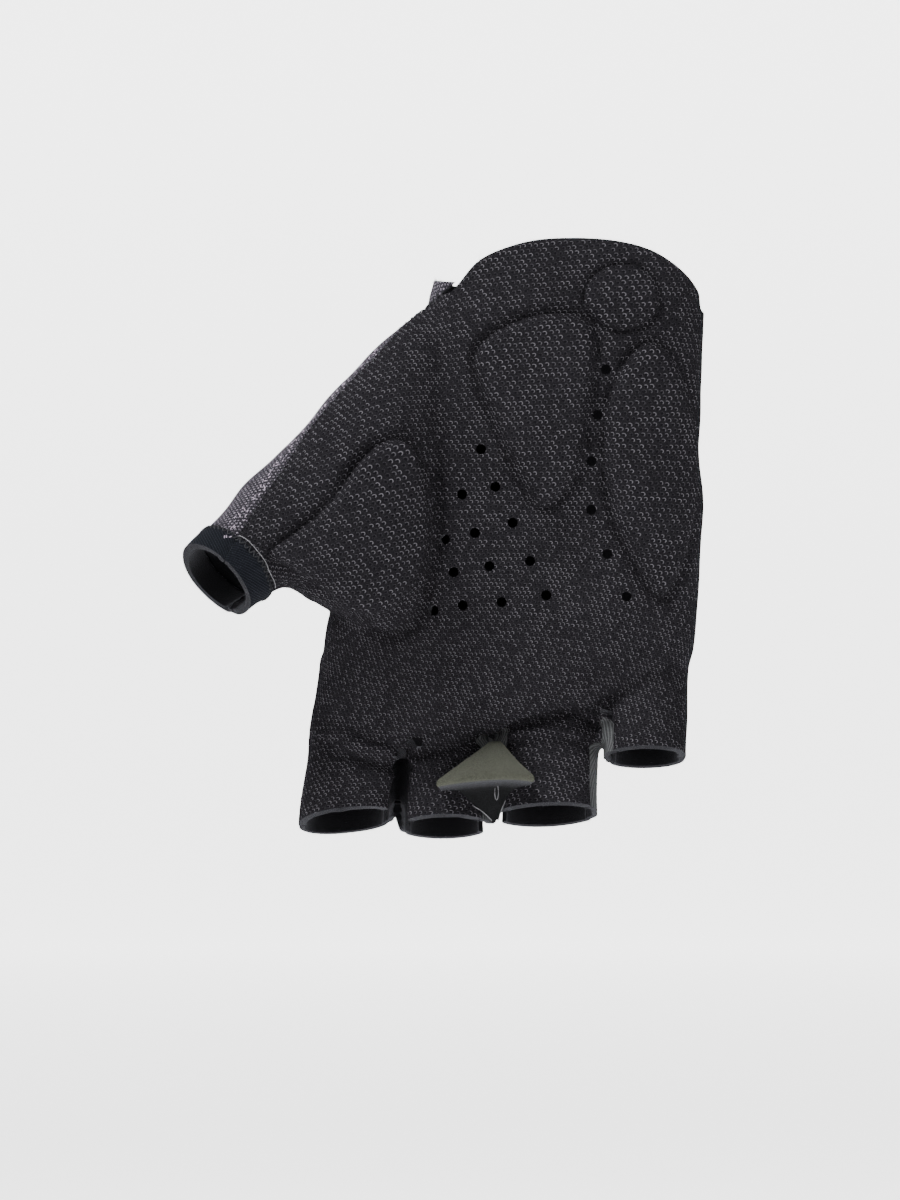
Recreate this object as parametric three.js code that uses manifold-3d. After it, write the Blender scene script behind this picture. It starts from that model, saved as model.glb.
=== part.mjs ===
// Short-finger cycling glove for a right hand, in the shape that a hand gives it.
// The fingers hang down, the padded palm faces the viewer and the thumb points down to the left.
// +X runs from the thumb side to the little-finger side, +Y from the palm to the back of the hand, +Z up the arm.
// The origin is the middle of the wrist opening, where the hand goes in. Lengths are in millimetres.
import * as THREE from "three";
import { mergeVertices } from "three/addons/utils/BufferGeometryUtils.js";
import Module from "manifold-3d";

const wasm = await Module();
wasm.setup();

// The hand that fills the glove
const palmWidth = 90;
const palmLength = 110;
const palmDepth = 40;
const thumbDepth = 21;
const fingerDepth = 19.4;
const stallGap = 1.0;

// Cloth
const palmWall = 1.8;
const backWall = 1.2;
const seamGap = 0.3;
const padRise = 1.7;
const padShoulder = 1.5;
const ventRadius = 1.25;
const discRadius = 9.4;
const discGroove = 1.1;
const discSink = 0.7;

// Finger side walls, thumb hem and pull tab
const sideWallDepth = 12.5;
const sideWallReach = 5.6;
const sideWallRise = 4.5;
const hemWidth = 6.8;
const hemWall = 0.5;
const tabWidth = 22.3;
const tabHeight = 20.5;
const tabReach = 9.5;
const tabCloth = 1.2;

// Fineness of the solids, and how square their sections are: 2 is an ellipse
const ringSides = { palm: 32, thumb: 22, finger: 18 };
const fingerRows = 5;
const seamGrid = { columns: 32, rows: 38 };
const squareness = { palmFront: 2.9, palmBack: 2.3, thumb: 2.1, finger: 2.2 };
const farAway = 200;

// Sections of the hand from above the wrist to the ends of the knuckles. down is a share of palmLength,
// radial and ulnar are the two edges as shares of palmWidth, middle and half are shares of palmDepth,
// and slope tilts a section towards the line that the finger crotches follow.
const palmSections = [
  { down: -0.164, radial: -0.35, ulnar: 0.344, middle: 0.01, half: 0.46, slope: 0 },
  { down: -0.027, radial: -0.362, ulnar: 0.352, middle: 0.0, half: 0.485, slope: 0 },
  { down: 0.173, radial: -0.428, ulnar: 0.344, middle: -0.013, half: 0.5, slope: 0 },
  { down: 0.336, radial: -0.489, ulnar: 0.338, middle: -0.01, half: 0.475, slope: 0 },
  { down: 0.473, radial: -0.55, ulnar: 0.347, middle: 0.0, half: 0.445, slope: 0 },
  { down: 0.591, radial: -0.61, ulnar: 0.34, middle: 0.01, half: 0.42, slope: 0.02 },
  { down: 0.69, radial: -0.642, ulnar: 0.336, middle: 0.012, half: 0.405, slope: 0.06 },
  { down: 0.77, radial: -0.655, ulnar: 0.33, middle: 0.01, half: 0.4, slope: 0.12 },
  { down: 0.838, radial: -0.678, ulnar: 0.324, middle: 0.0, half: 0.38, slope: 0.18 },
  { down: 0.887, radial: -0.69, ulnar: 0.318, middle: -0.02, half: 0.33, slope: 0.22 },
  { down: 0.92, radial: -0.694, ulnar: 0.308, middle: -0.045, half: 0.26, slope: 0.24 },
  { down: 0.94, radial: -0.69, ulnar: 0.295, middle: -0.06, half: 0.18, slope: 0.242 },
  { down: 0.95, radial: -0.66, ulnar: 0.275, middle: -0.07, half: 0.09, slope: 0.242 },
];

// Sections of the ball of the thumb and the thumb, each from its outer edge to its inner edge. Across is a share
// of palmWidth, down of palmLength, middle of palmDepth, half of thumbDepth. lean turns a section to the thumb's tilt.
const thumbSections = [
  { outAcross: -0.344, outDown: 0.018, inAcross: -0.044, inDown: 0.182, middle: -0.125, half: 0.57, lean: 0 },
  { outAcross: -0.452, outDown: 0.078, inAcross: -0.2, inDown: 0.364, middle: -0.175, half: 0.76, lean: 0 },
  { outAcross: -0.612, outDown: 0.207, inAcross: -0.344, inDown: 0.536, middle: -0.225, half: 0.83, lean: 4 },
  { outAcross: -0.744, outDown: 0.336, inAcross: -0.4, inDown: 0.645, middle: -0.262, half: 0.81, lean: 8 },
  { outAcross: -0.856, outDown: 0.417, inAcross: -0.544, inDown: 0.705, middle: -0.312, half: 0.71, lean: 14 },
  { outAcross: -0.911, outDown: 0.476, inAcross: -0.718, inDown: 0.64, middle: -0.387, half: 0.58, lean: 20 },
  { outAcross: -0.968, outDown: 0.525, inAcross: -0.817, inDown: 0.671, middle: -0.462, half: 0.525, lean: 24 },
  { outAcross: -1.02, outDown: 0.572, inAcross: -0.867, inDown: 0.7, middle: -0.537, half: 0.5, lean: 26 },
];

// Finger stalls: left and right are the edges at the open end as shares of palmWidth, before stallGap is taken
// off, and shift is how far the root lies from there. root and tip are shares of palmLength, and slope tilts the end.
const fingers = [
  { name: "index", left: -0.726, right: -0.461, shift: 0.06, root: 0.8, tip: 1.155, slope: 0.1 },
  { name: "middle", left: -0.461, right: -0.208, shift: 0.005, root: 0.8, tip: 1.168, slope: 0.02 },
  { name: "ring", left: -0.208, right: 0.072, shift: 0, root: 0.78, tip: 1.142, slope: 0.04 },
  { name: "little", left: 0.072, right: 0.308, shift: 0.02, root: 0.72, tip: 1.017, slope: 0.01 },
];

// How the stalls bend forwards: rootY and tipY are shares of palmDepth, thick of fingerDepth
const bends = {
  index: { rootY: 0.02, tipY: -0.22, thick: 1 },
  middle: { rootY: 0.02, tipY: -0.25, thick: 1.02 },
  ring: { rootY: 0.02, tipY: -0.27, thick: 1 },
  little: { rootY: 0, tipY: -0.27, thick: 0.9 },
};
const fingerLean = 19;
const stallBlend = 2;

// The line of the finger crotches, which rises towards the little finger, and the tilt of the side walls there
const crotchLine = { down: 0.95, across: -0.2, slope: 0.242 };
const wallLean = 14;
const wallForward = 0.35;

// The seam between palm and back. beside and onThumb are depths as shares of palmDepth, with a rate along the thumb,
// and edge is the depth where it comes to the front. meets is where the two stretches run into each other, across.
const seamLine = {
  beside: 0.04,
  onThumb: { depth: -0.12, rate: -0.36 },
  edge: { depth: -0.47, rate: -0.23, start: -1.2 },
  meets: [-0.68, -0.76],
  turns: [-0.1, 0.7],
};

// The room that the cutting solids span, as shares of palmWidth and palmLength
const span = { left: -1.25, right: 0.55, top: -0.35, bottom: 1.35 };
const knuckles = 0.7;
const pastEnds = 0.4;

// Closed outlines on the palm, seen from the front, across as a share of palmWidth and down of palmLength
const padOutlines = {
  heel: [
    [-0.235, 0.12], [-0.08, 0.06], [0.06, 0.09], [0.045, 0.28], [0.01, 0.41], [-0.08, 0.472], [-0.14, 0.4], [-0.24, 0.21],
  ],
  outer: [
    [0.2, 0.12], [0.29, 0.19], [0.325, 0.38], [0.31, 0.54], [0.245, 0.665], [0.16, 0.58], [0.1, 0.44], [0.1, 0.24],
  ],
  thumb: [
    [-0.43, 0.338], [-0.39, 0.46], [-0.392, 0.58], [-0.43, 0.66], [-0.49, 0.7], [-0.58, 0.69], [-0.69, 0.63],
    [-0.79, 0.58], [-0.72, 0.53], [-0.62, 0.46], [-0.54, 0.36],
  ],
};
const discCentre = [0.136, 0.02];

// Air holes, in the order that they run down the palm
const vents = [
  [0.092, 0.178], [0.07, 0.276], [0.054, 0.376], [0.054, 0.481], [0.097, 0.577], [0.148, 0.669],
  [-0.238, 0.35], [-0.288, 0.448], [-0.2, 0.431], [-0.334, 0.545], [-0.254, 0.531], [-0.154, 0.509],
  [-0.31, 0.616], [-0.216, 0.603], [-0.108, 0.592], [-0.363, 0.699], [-0.286, 0.688], [-0.183, 0.681], [-0.065, 0.666],
];

// The palm cloth's free edge over the wrist, and the straight edge of the back
const wristArc = [
  [-0.5, 0.02], [-0.335, 0.012], [-0.307, 0], [-0.24, -0.061], [-0.133, -0.096], [-0.027, -0.107], [0.107, -0.103],
  [0.213, -0.081], [0.293, -0.039], [0.339, 0.007], [0.36, 0.055], [0.5, 0.07],
];
const backEdge = { radial: -0.022, ulnar: 0.065 };

// Pull tab. Its path runs from its root over the fold to its tip: forwards as a share of tabReach, down of tabHeight.
// Its outline is seen from the front: across as a share of tabWidth, down of tabHeight.
const tabTop = 0.963;
const tabRoot = -0.28;
const tabPath = [[0, 0], [0.73, 0.17], [1.2, 0.33], [1.25, 0.38], [1.18, 0.42], [0.9, 0.6], [0.73, 1]];
const tabOutline = [
  [-0.06, 0], [0.06, 0], [0.5, 0.33], [0.52, 0.37], [0.45, 0.47], [0.2, 0.75], [0.07, 1],
  [-0.05, 1], [-0.2, 0.78], [-0.5, 0.48], [-0.57, 0.4], [-0.55, 0.35],
];

// Geometry helpers

const across = (share) => share * palmWidth;
const down = (share) => -share * palmLength;
const smooth = (from, to, value) => THREE.MathUtils.smoothstep((value - from) / (to - from), 0, 1);

function solidOf(geometry) {
  const bare = new THREE.BufferGeometry().setAttribute("position", geometry.getAttribute("position"));
  if (geometry.index) bare.setIndex(geometry.index);
  const merged = mergeVertices(bare, 1e-4);
  return new wasm.Manifold(
    new wasm.Mesh({
      numProp: 3,
      vertProperties: new Float32Array(merged.attributes.position.array),
      triVerts: new Uint32Array(merged.index.array),
    }),
  );
}

function geometryOf(solid) {
  const { vertProperties, triVerts } = solid.getMesh();
  const geometry = new THREE.BufferGeometry();
  geometry.setAttribute("position", new THREE.BufferAttribute(new Float32Array(vertProperties), 3));
  geometry.setIndex(new THREE.BufferAttribute(new Uint32Array(triVerts), 1));
  geometry.computeVertexNormals();
  return geometry;
}

// Puts steps sections between each two rows of a table, on a smooth curve through every column
function refine(rows, steps) {
  const made = [];
  for (let i = 0; i < rows.length - 1; i++) {
    const [from, to] = [rows[i], rows[i + 1]];
    const before = rows[Math.max(i - 1, 0)];
    const after = rows[Math.min(i + 2, rows.length - 1)];
    for (let step = 0; step < steps; step++) {
      const t = step / steps;
      const row = {};
      for (const key of Object.keys(from)) {
        const startSlope = (to[key] - before[key]) / 2;
        const endSlope = (after[key] - from[key]) / 2;
        row[key] =
          from[key] * (2 * t ** 3 - 3 * t ** 2 + 1) +
          startSlope * (t ** 3 - 2 * t ** 2 + t) +
          to[key] * (3 * t ** 2 - 2 * t ** 3) +
          endSlope * (t ** 3 - t ** 2);
      }
      made.push(row);
    }
  }
  made.push(rows[rows.length - 1]);
  return made;
}

// A closed tube through rings. Each ring has a centre, unit vectors across and through it, and half sizes.
// grow.front and grow.back move its palm side and its back side out, or in if they are negative.
function tube(rings, sides, grow) {
  const points = [];
  for (const ring of rings) {
    for (let i = 0; i < sides; i++) {
      const angle = (2 * Math.PI * i) / sides;
      const [c, s] = [Math.cos(angle), Math.sin(angle)];
      const side = s < 0 ? grow.front : grow.back;
      const power = 2 / (s < 0 ? ring.frontPower : ring.backPower);
      const u = Math.sign(c) * Math.abs(c) ** power * (ring.halfWidth + (grow.front + grow.back) / 2);
      const v = Math.sign(s) * Math.abs(s) ** power * (ring.halfDepth + side);
      points.push(ring.centre.clone().addScaledVector(ring.across, u).addScaledVector(ring.through, v));
    }
  }
  const index = [];
  const last = rings.length - 1;
  for (let r = 0; r < last; r++) {
    for (let i = 0; i < sides; i++) {
      const [a, b] = [r * sides + i, r * sides + ((i + 1) % sides)];
      index.push(a, a + sides, b, b, a + sides, b + sides);
    }
  }
  const [top, bottom] = [points.length, points.length + 1];
  points.push(rings[0].centre.clone(), rings[last].centre.clone());
  for (let i = 0; i < sides; i++) {
    const next = (i + 1) % sides;
    index.push(top, i, next, bottom, last * sides + next, last * sides + i);
  }
  return solidOf(new THREE.BufferGeometry().setFromPoints(points).setIndex(index));
}

// A closed outline in the XZ plane, carried along Y from front to back
function prism(points, front, back) {
  const shape = new THREE.Shape(points.map(([x, z]) => new THREE.Vector2(x, z)));
  const geometry = new THREE.ExtrudeGeometry(shape, { depth: back - front, bevelEnabled: false });
  return solidOf(geometry.rotateX(Math.PI / 2).translate(0, back, 0));
}

const place = ([x, z]) => [across(x), down(z)];

// A smooth closed outline through a table's points, moved inwards by inset
function smoothOutline(table, count, inset) {
  const curve = new THREE.CatmullRomCurve3(
    table.map(place).map(([x, z]) => new THREE.Vector3(x, 0, z)),
    true,
    "centripetal",
  );
  const points = curve.getSpacedPoints(count).slice(0, -1);
  const clockwise = THREE.ShapeUtils.isClockWise(points.map((p) => new THREE.Vector2(p.x, p.z)));
  const turn = clockwise ? -1 : 1;
  return points.map((point, i) => {
    const next = points[(i + 1) % points.length];
    const along = next.clone().sub(points[(i + points.length - 1) % points.length]).normalize();
    return [point.x - turn * along.z * inset, point.z + turn * along.x * inset];
  });
}

const circle = ([x, z], radius, sides) =>
  Array.from({ length: sides }, (_, i) => {
    const angle = (2 * Math.PI * i) / sides;
    return [x + radius * Math.cos(angle), z + radius * Math.sin(angle)];
  });

// Rings of the hand's parts

function palmRing(row) {
  const angle = Math.atan(row.slope);
  const middleX = across((row.radial + row.ulnar) / 2);
  return {
    centre: new THREE.Vector3(middleX, row.middle * palmDepth, down(row.down)),
    across: new THREE.Vector3(Math.cos(angle), 0, Math.sin(angle)),
    through: new THREE.Vector3(0, 1, 0),
    halfWidth: across(row.ulnar - row.radial) / 2 / Math.cos(angle),
    halfDepth: row.half * palmDepth,
    frontPower: squareness.palmFront,
    backPower: squareness.palmBack,
  };
}

function leaned(axis, degrees) {
  const angle = THREE.MathUtils.degToRad(degrees);
  return new THREE.Vector3(0, Math.cos(angle), 0).addScaledVector(axis, Math.sin(angle));
}

function thumbRing(row) {
  const outer = new THREE.Vector3(across(row.outAcross), 0, down(row.outDown));
  const inner = new THREE.Vector3(across(row.inAcross), 0, down(row.inDown));
  const acrossUnit = inner.clone().sub(outer).normalize();
  const axis = new THREE.Vector3(acrossUnit.z, 0, -acrossUnit.x);
  return {
    centre: outer.clone().add(inner).multiplyScalar(0.5).setY(row.middle * palmDepth),
    across: acrossUnit,
    through: leaned(axis, row.lean),
    halfWidth: outer.distanceTo(inner) / 2,
    halfDepth: row.half * thumbDepth,
    frontPower: squareness.thumb,
    backPower: squareness.thumb,
  };
}

function fingerRings(finger, beyond) {
  const { rootY, tipY, thick } = bends[finger.name];
  const rings = [];
  for (let i = 0; i <= fingerRows; i++) {
    const t = i / fingerRows + (i === fingerRows ? beyond : 0);
    const tilt = Math.atan(finger.slope * t);
    const z = THREE.MathUtils.lerp(down(finger.root), down(finger.tip), t);
    const y = palmDepth * THREE.MathUtils.lerp(rootY, tipY, t * t);
    rings.push({
      centre: new THREE.Vector3(across((finger.left + finger.right) / 2 + finger.shift * (1 - t)), y, z),
      across: new THREE.Vector3(Math.cos(tilt), 0, Math.sin(tilt)),
      through: leaned(new THREE.Vector3(0, 0, -1), fingerLean * t),
      halfWidth: (across(finger.right - finger.left) - stallGap) / 2,
      halfDepth: (thick * fingerDepth) / 2,
      frontPower: squareness.finger,
      backPower: squareness.finger,
    });
  }
  return rings;
}

// The whole hand as one solid, grown or shrunk. The hollow one runs out of the wrist, the stalls and the thumb.
function hand(grow, hollow) {
  const palmRows = refine(palmSections, hollow ? 1 : 2).map(palmRing);
  const thumbRows = refine(thumbSections, 2).map(thumbRing);
  if (hollow) {
    const end = down(palmSections[palmSections.length - 1].down);
    for (const ring of palmRows) ring.centre.z -= grow.front * smooth(down(knuckles), end, ring.centre.z);
    const above = palmRows[0].centre.clone().add(new THREE.Vector3(0, 0, palmDepth));
    palmRows.unshift({ ...palmRows[0], centre: above });
    const mouth = thumbRows[thumbRows.length - 1];
    const out = mouth.through.clone().cross(mouth.across).normalize();
    thumbRows.push({ ...mouth, centre: mouth.centre.clone().addScaledVector(out, thumbDepth) });
  }
  let solid = tube(palmRows, ringSides.palm, grow).add(tube(thumbRows, ringSides.thumb, grow));
  for (const finger of fingers) {
    solid = solid.add(tube(fingerRings(finger, hollow ? pastEnds : 0), ringSides.finger, grow));
  }
  return solid;
}

// Seam between palm and back, as a depth for each place in the front view. It runs round the sides of the hand,
// follows the fingers as they bend forwards, and comes to the front along the outer side of the thumb.
const mouthRing = thumbRing(thumbSections[thumbSections.length - 1]);
const thumbRoot = thumbRing(thumbSections[3]).centre;
const thumbWay = mouthRing.centre.clone().sub(thumbRoot);
const thumbOutward = new THREE.Vector3(thumbWay.z, 0, -thumbWay.x).normalize();

function stallMiddle(x, z) {
  let [sum, weights] = [0, 0];
  fingers.forEach((finger, i) => {
    const { rootY, tipY } = bends[finger.name];
    const share = (z - down(finger.root)) / (down(finger.tip) - down(finger.root));
    const t = THREE.MathUtils.clamp(share, 0, 1 + pastEnds);
    const past = i === 0 ? 1 : smooth(across(finger.left) - stallBlend, across(finger.left) + stallBlend, x);
    const isLast = i === fingers.length - 1;
    const short = isLast ? 0 : smooth(across(finger.right) - stallBlend, across(finger.right) + stallBlend, x);
    const weight = past * (1 - short);
    sum += weight * palmDepth * THREE.MathUtils.lerp(rootY, tipY, t * t);
    weights += weight;
  });
  return sum / weights;
}

function seamDepth(x, z) {
  const { beside, onThumb, edge, meets, turns } = seamLine;
  const offset = new THREE.Vector3(x - thumbRoot.x, 0, z - thumbRoot.z);
  const along = (offset.x * thumbWay.x + offset.z * thumbWay.z) / (thumbWay.x ** 2 + thumbWay.z ** 2);
  const outward = offset.dot(thumbOutward) / thumbDepth;
  const besidePalm = beside * palmDepth + stallMiddle(x, z);
  const besideThumb = palmDepth * (onThumb.depth + onThumb.rate * along);
  const inner = THREE.MathUtils.lerp(besidePalm, besideThumb, smooth(across(meets[0]), across(meets[1]), x));
  const outer = palmDepth * (edge.depth + edge.rate * Math.max(along, edge.start));
  return THREE.MathUtils.lerp(inner, outer, smooth(turns[0], turns[1], outward));
}

// Everything in front of the seam surface, moved back by shift
function frontOf(shift) {
  const { columns, rows } = seamGrid;
  const points = [];
  const index = [];
  for (const face of [0, 1]) {
    for (let r = 0; r <= rows; r++) {
      for (let c = 0; c <= columns; c++) {
        const x = across(THREE.MathUtils.lerp(span.left, span.right, c / columns));
        const z = down(THREE.MathUtils.lerp(span.bottom, span.top, r / rows));
        points.push(new THREE.Vector3(x, face ? seamDepth(x, z) + shift : -farAway, z));
      }
    }
  }
  const at = (face, r, c) => face * (rows + 1) * (columns + 1) + r * (columns + 1) + c;
  const quad = (a, b, c, d) => index.push(a, b, c, a, c, d);
  for (let r = 0; r < rows; r++) {
    for (let c = 0; c < columns; c++) {
      quad(at(0, r, c), at(0, r, c + 1), at(0, r + 1, c + 1), at(0, r + 1, c));
      quad(at(1, r, c), at(1, r + 1, c), at(1, r + 1, c + 1), at(1, r, c + 1));
    }
    quad(at(0, r, 0), at(0, r + 1, 0), at(1, r + 1, 0), at(1, r, 0));
    quad(at(0, r, columns), at(1, r, columns), at(1, r + 1, columns), at(0, r + 1, columns));
  }
  for (let c = 0; c < columns; c++) {
    quad(at(0, 0, c), at(1, 0, c), at(1, 0, c + 1), at(0, 0, c + 1));
    quad(at(0, rows, c), at(0, rows, c + 1), at(1, rows, c + 1), at(1, rows, c));
  }
  return solidOf(new THREE.BufferGeometry().setFromPoints(points).setIndex(index));
}

// The box in which a finger side wall runs down one stall, over the crotch and up the next
function sideWallBox(left, right, extra) {
  const tilt = THREE.MathUtils.degToRad(wallLean);
  const crotch = down(crotchLine.down) + crotchLine.slope * across(left.right - crotchLine.across);
  const height = crotch + sideWallRise - down(span.bottom);
  const depth = (palmDepth * wallForward * (bends[left.name].tipY + bends[right.name].tipY)) / 4;
  const box = new THREE.BoxGeometry(2 * (sideWallReach + extra), sideWallDepth + 2 * extra, height + 2 * extra);
  box.translate(0, 0, -height / 2).rotateX(-tilt);
  return solidOf(box.translate(across(left.right), depth, crotch + sideWallRise));
}

// The slice of space that the thumb hem fills, from its mouth back by reach
function thumbSlice(reach) {
  const out = mouthRing.through.clone().cross(mouthRing.across).normalize();
  const turn = new THREE.Quaternion().setFromUnitVectors(new THREE.Vector3(0, 0, 1), out);
  const box = new THREE.BoxGeometry(2 * thumbDepth, 2 * thumbDepth, thumbDepth + reach);
  box.translate(0, 0, (thumbDepth - reach) / 2).applyQuaternion(turn);
  return solidOf(box.translate(...mouthRing.centre.toArray()));
}

// Pull tab: cloth folded over a ridge that stands out in front of the gap between two stalls
function tabSolid(body) {
  const gapX = across(fingers[1].right);
  const top = down(tabTop);
  const path = tabPath.map(
    ([forward, drop]) => new THREE.Vector2(tabRoot * palmDepth - forward * tabReach, top - drop * tabHeight),
  );
  const edge = (shift) =>
    path.map((point, i) => {
      const way = path[Math.min(i + 1, path.length - 1)].clone().sub(path[Math.max(i - 1, 0)]).normalize();
      return new THREE.Vector2(point.x + way.y * shift, point.y - way.x * shift);
    });
  const profile = new THREE.Shape([...edge(tabCloth / 2), ...edge(-tabCloth / 2).reverse()]);
  const strip = new THREE.ExtrudeGeometry(profile, { depth: 2 * tabWidth, bevelEnabled: false });
  const [x, y, z] = [new THREE.Vector3(1, 0, 0), new THREE.Vector3(0, 1, 0), new THREE.Vector3(0, 0, 1)];
  strip.applyMatrix4(new THREE.Matrix4().makeBasis(y, z, x)).translate(gapX - tabWidth, 0, 0);
  const outline = tabOutline.map(([share, drop]) => [gapX + share * tabWidth, top - drop * tabHeight]);
  return solidOf(strip).intersect(prism(outline, -farAway, farAway)).subtract(body);
}

// The glove

const outside = { front: 0, back: 0 };
const hollow = hand({ front: -palmWall, back: -backWall }, true);
let body = hand(outside, false);
for (const table of Object.values(padOutlines)) {
  for (const [inset, rise] of [[0, 0.55], [padShoulder, 1]]) {
    const grown = hand({ front: padRise * rise, back: 0 }, false);
    body = body.add(grown.intersect(prism(smoothOutline(table, 24, inset), -farAway, 0)));
  }
}
const discPlace = place(discCentre);
const sunk = hand({ front: -discSink, back: -discSink }, false);
const groove = prism(circle(discPlace, discRadius, 28), -farAway, 0)
  .subtract(prism(circle(discPlace, discRadius - discGroove, 24), -farAway, 0))
  .subtract(sunk);
const shell = body.subtract(groove).subtract(hollow);

const pairs = fingers.slice(1).map((finger, i) => [fingers[i], finger]);
const wallBoxes = pairs.map(([left, right]) => sideWallBox(left, right, 0));
const clearBoxes = pairs.map(([left, right]) => sideWallBox(left, right, seamGap));
const hemSpace = thumbSlice(hemWidth + seamGap);
const less = (solid, cutters) => cutters.reduce((left, cutter) => left.subtract(cutter), solid);

const lowCorners = [[across(span.left), down(span.bottom)], [across(span.right), down(span.bottom)]];
const palmOutline = [...wristArc.map(place).reverse(), [across(span.left), 0], ...lowCorners];
const ventPrisms = vents.map((vent) => prism(circle(place(vent), ventRadius, 8), -farAway, 0));
const palmPanel = less(
  shell.intersect(frontOf(-seamGap / 2)).intersect(prism(palmOutline, -farAway, farAway)),
  [...clearBoxes, hemSpace, ...ventPrisms],
);

const backTop = [[across(0.5), down(backEdge.ulnar)], [across(-0.5), down(backEdge.radial)]];
const backOutline = [...backTop, [across(span.left), down(backEdge.radial)], ...lowCorners];
const backPanel = less(
  shell.subtract(frontOf(seamGap / 2)).intersect(prism(backOutline, -farAway, farAway)),
  [...clearBoxes, hemSpace],
);

const hemBody = tube(refine(thumbSections, 2).map(thumbRing), ringSides.thumb, { front: hemWall, back: hemWall })
  .subtract(hollow)
  .intersect(thumbSlice(hemWidth));

const cloth = {
  palm: new THREE.MeshStandardMaterial({ color: 0x2b2a2c, roughness: 0.85, metalness: 0 }),
  back: new THREE.MeshStandardMaterial({ color: 0x434147, roughness: 0.8, metalness: 0 }),
  side: new THREE.MeshStandardMaterial({ color: 0x1d1e20, roughness: 0.9, metalness: 0 }),
  hem: new THREE.MeshStandardMaterial({ color: 0x222428, roughness: 0.8, metalness: 0 }),
  tab: new THREE.MeshStandardMaterial({ color: 0x32332f, roughness: 0.95, metalness: 0 }),
};

const glove = new THREE.Group();
function piece(name, solid, material) {
  const mesh = new THREE.Mesh(geometryOf(solid), material);
  mesh.name = name;
  glove.add(mesh);
}

piece("palm_panel", palmPanel, cloth.palm);
piece("back_panel", backPanel, cloth.back);
pairs.forEach(([left, right], i) => {
  piece(`side_wall_${left.name}_${right.name}`, shell.intersect(wallBoxes[i]), cloth.side);
});
piece("thumb_hem_palm", hemBody.intersect(frontOf(-seamGap / 2)), cloth.hem);
piece("thumb_hem_back", hemBody.subtract(frontOf(seamGap / 2)), cloth.hem);
const clearance = { front: seamGap, back: seamGap };
piece("pull_tab", tabSolid(hand(clearance, false)), cloth.tab);

export default glove;
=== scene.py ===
"""Short-finger cycling glove for a right hand, dressed in its cloths: knit palm, back, side walls, thumb hem and tab."""

import math

import bmesh
import bpy
import numpy as np
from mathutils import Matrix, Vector


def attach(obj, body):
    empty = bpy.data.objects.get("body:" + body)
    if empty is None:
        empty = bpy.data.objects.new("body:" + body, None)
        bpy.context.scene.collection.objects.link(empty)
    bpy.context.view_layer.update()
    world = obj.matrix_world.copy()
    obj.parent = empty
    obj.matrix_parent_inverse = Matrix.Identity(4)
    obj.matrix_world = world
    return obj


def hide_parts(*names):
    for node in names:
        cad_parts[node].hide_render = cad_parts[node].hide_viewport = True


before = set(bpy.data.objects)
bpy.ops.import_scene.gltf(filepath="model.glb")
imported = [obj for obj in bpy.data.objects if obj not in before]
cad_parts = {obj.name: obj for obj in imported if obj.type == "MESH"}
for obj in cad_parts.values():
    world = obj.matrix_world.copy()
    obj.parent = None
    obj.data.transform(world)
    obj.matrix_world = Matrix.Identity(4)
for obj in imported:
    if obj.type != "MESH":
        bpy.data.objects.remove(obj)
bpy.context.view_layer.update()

bl_info = {
    "name": "Cycling glove",
    "version": (1, 0, 0),
    "blender": (4, 5, 0),
    "location": "3D View > Sidebar > Glove",
    "description": "Builds a short-finger cycling glove over its packed solids",
    "category": "Add Mesh",
}

MM = 0.001

# Sections of the hand from above the wrist to the ends of the knuckles: down, radial edge, ulnar edge, middle, half, slope.
# down is a share of the palm's length, the edges of its breadth, middle and half of its depth.
PALM_SECTIONS = [
    (-0.25, -0.348, 0.342, 0.01, 0.455, 0),
    (-0.164, -0.35, 0.344, 0.01, 0.46, 0),
    (-0.027, -0.362, 0.352, 0.0, 0.485, 0),
    (0.173, -0.428, 0.344, -0.013, 0.5, 0),
    (0.336, -0.489, 0.338, -0.01, 0.475, 0),
    (0.473, -0.55, 0.347, 0.0, 0.445, 0),
    (0.591, -0.61, 0.34, 0.01, 0.42, 0.02),
    (0.69, -0.642, 0.336, 0.012, 0.405, 0.06),
    (0.77, -0.655, 0.33, 0.01, 0.4, 0.12),
    (0.838, -0.678, 0.324, 0.0, 0.38, 0.18),
    (0.887, -0.69, 0.318, -0.02, 0.33, 0.22),
    (0.92, -0.694, 0.308, -0.045, 0.26, 0.24),
    (0.94, -0.69, 0.295, -0.06, 0.18, 0.242),
    (0.95, -0.66, 0.275, -0.07, 0.09, 0.242),
]

# Sections of the ball of the thumb and the thumb: outer edge across and down, inner edge across and down, middle, half, lean
THUMB_SECTIONS = [
    (-0.344, 0.018, -0.2, 0.16, -0.05, 0.5, 0),
    (-0.452, 0.078, -0.33, 0.35, -0.16, 0.64, 0),
    (-0.612, 0.207, -0.362, 0.52, -0.225, 0.82, 4),
    (-0.744, 0.336, -0.39, 0.66, -0.262, 0.83, 8),
    (-0.856, 0.417, -0.51, 0.742, -0.312, 0.73, 14),
    (-0.911, 0.476, -0.718, 0.645, -0.387, 0.58, 20),
    (-0.968, 0.525, -0.817, 0.671, -0.462, 0.525, 24),
    (-1.02, 0.572, -0.867, 0.7, -0.537, 0.5, 26),
]

# Finger stalls: left and right edges, shift of the root, root, tip, rootY, tipY, thick, slope
FINGERS = {
    "index": (-0.726, -0.461, 0.06, 0.8, 1.155, 0.02, -0.22, 1.0, 0.1),
    "middle": (-0.461, -0.208, 0.005, 0.8, 1.168, 0.02, -0.25, 1.02, 0.02),
    "ring": (-0.208, 0.082, 0.0, 0.78, 1.142, 0.02, -0.27, 1.0, 0.04),
    "little": (0.082, 0.308, 0.015, 0.72, 1.017, 0.0, -0.27, 0.9, 0.01),
}
FINGER_LEAN = 19

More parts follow.
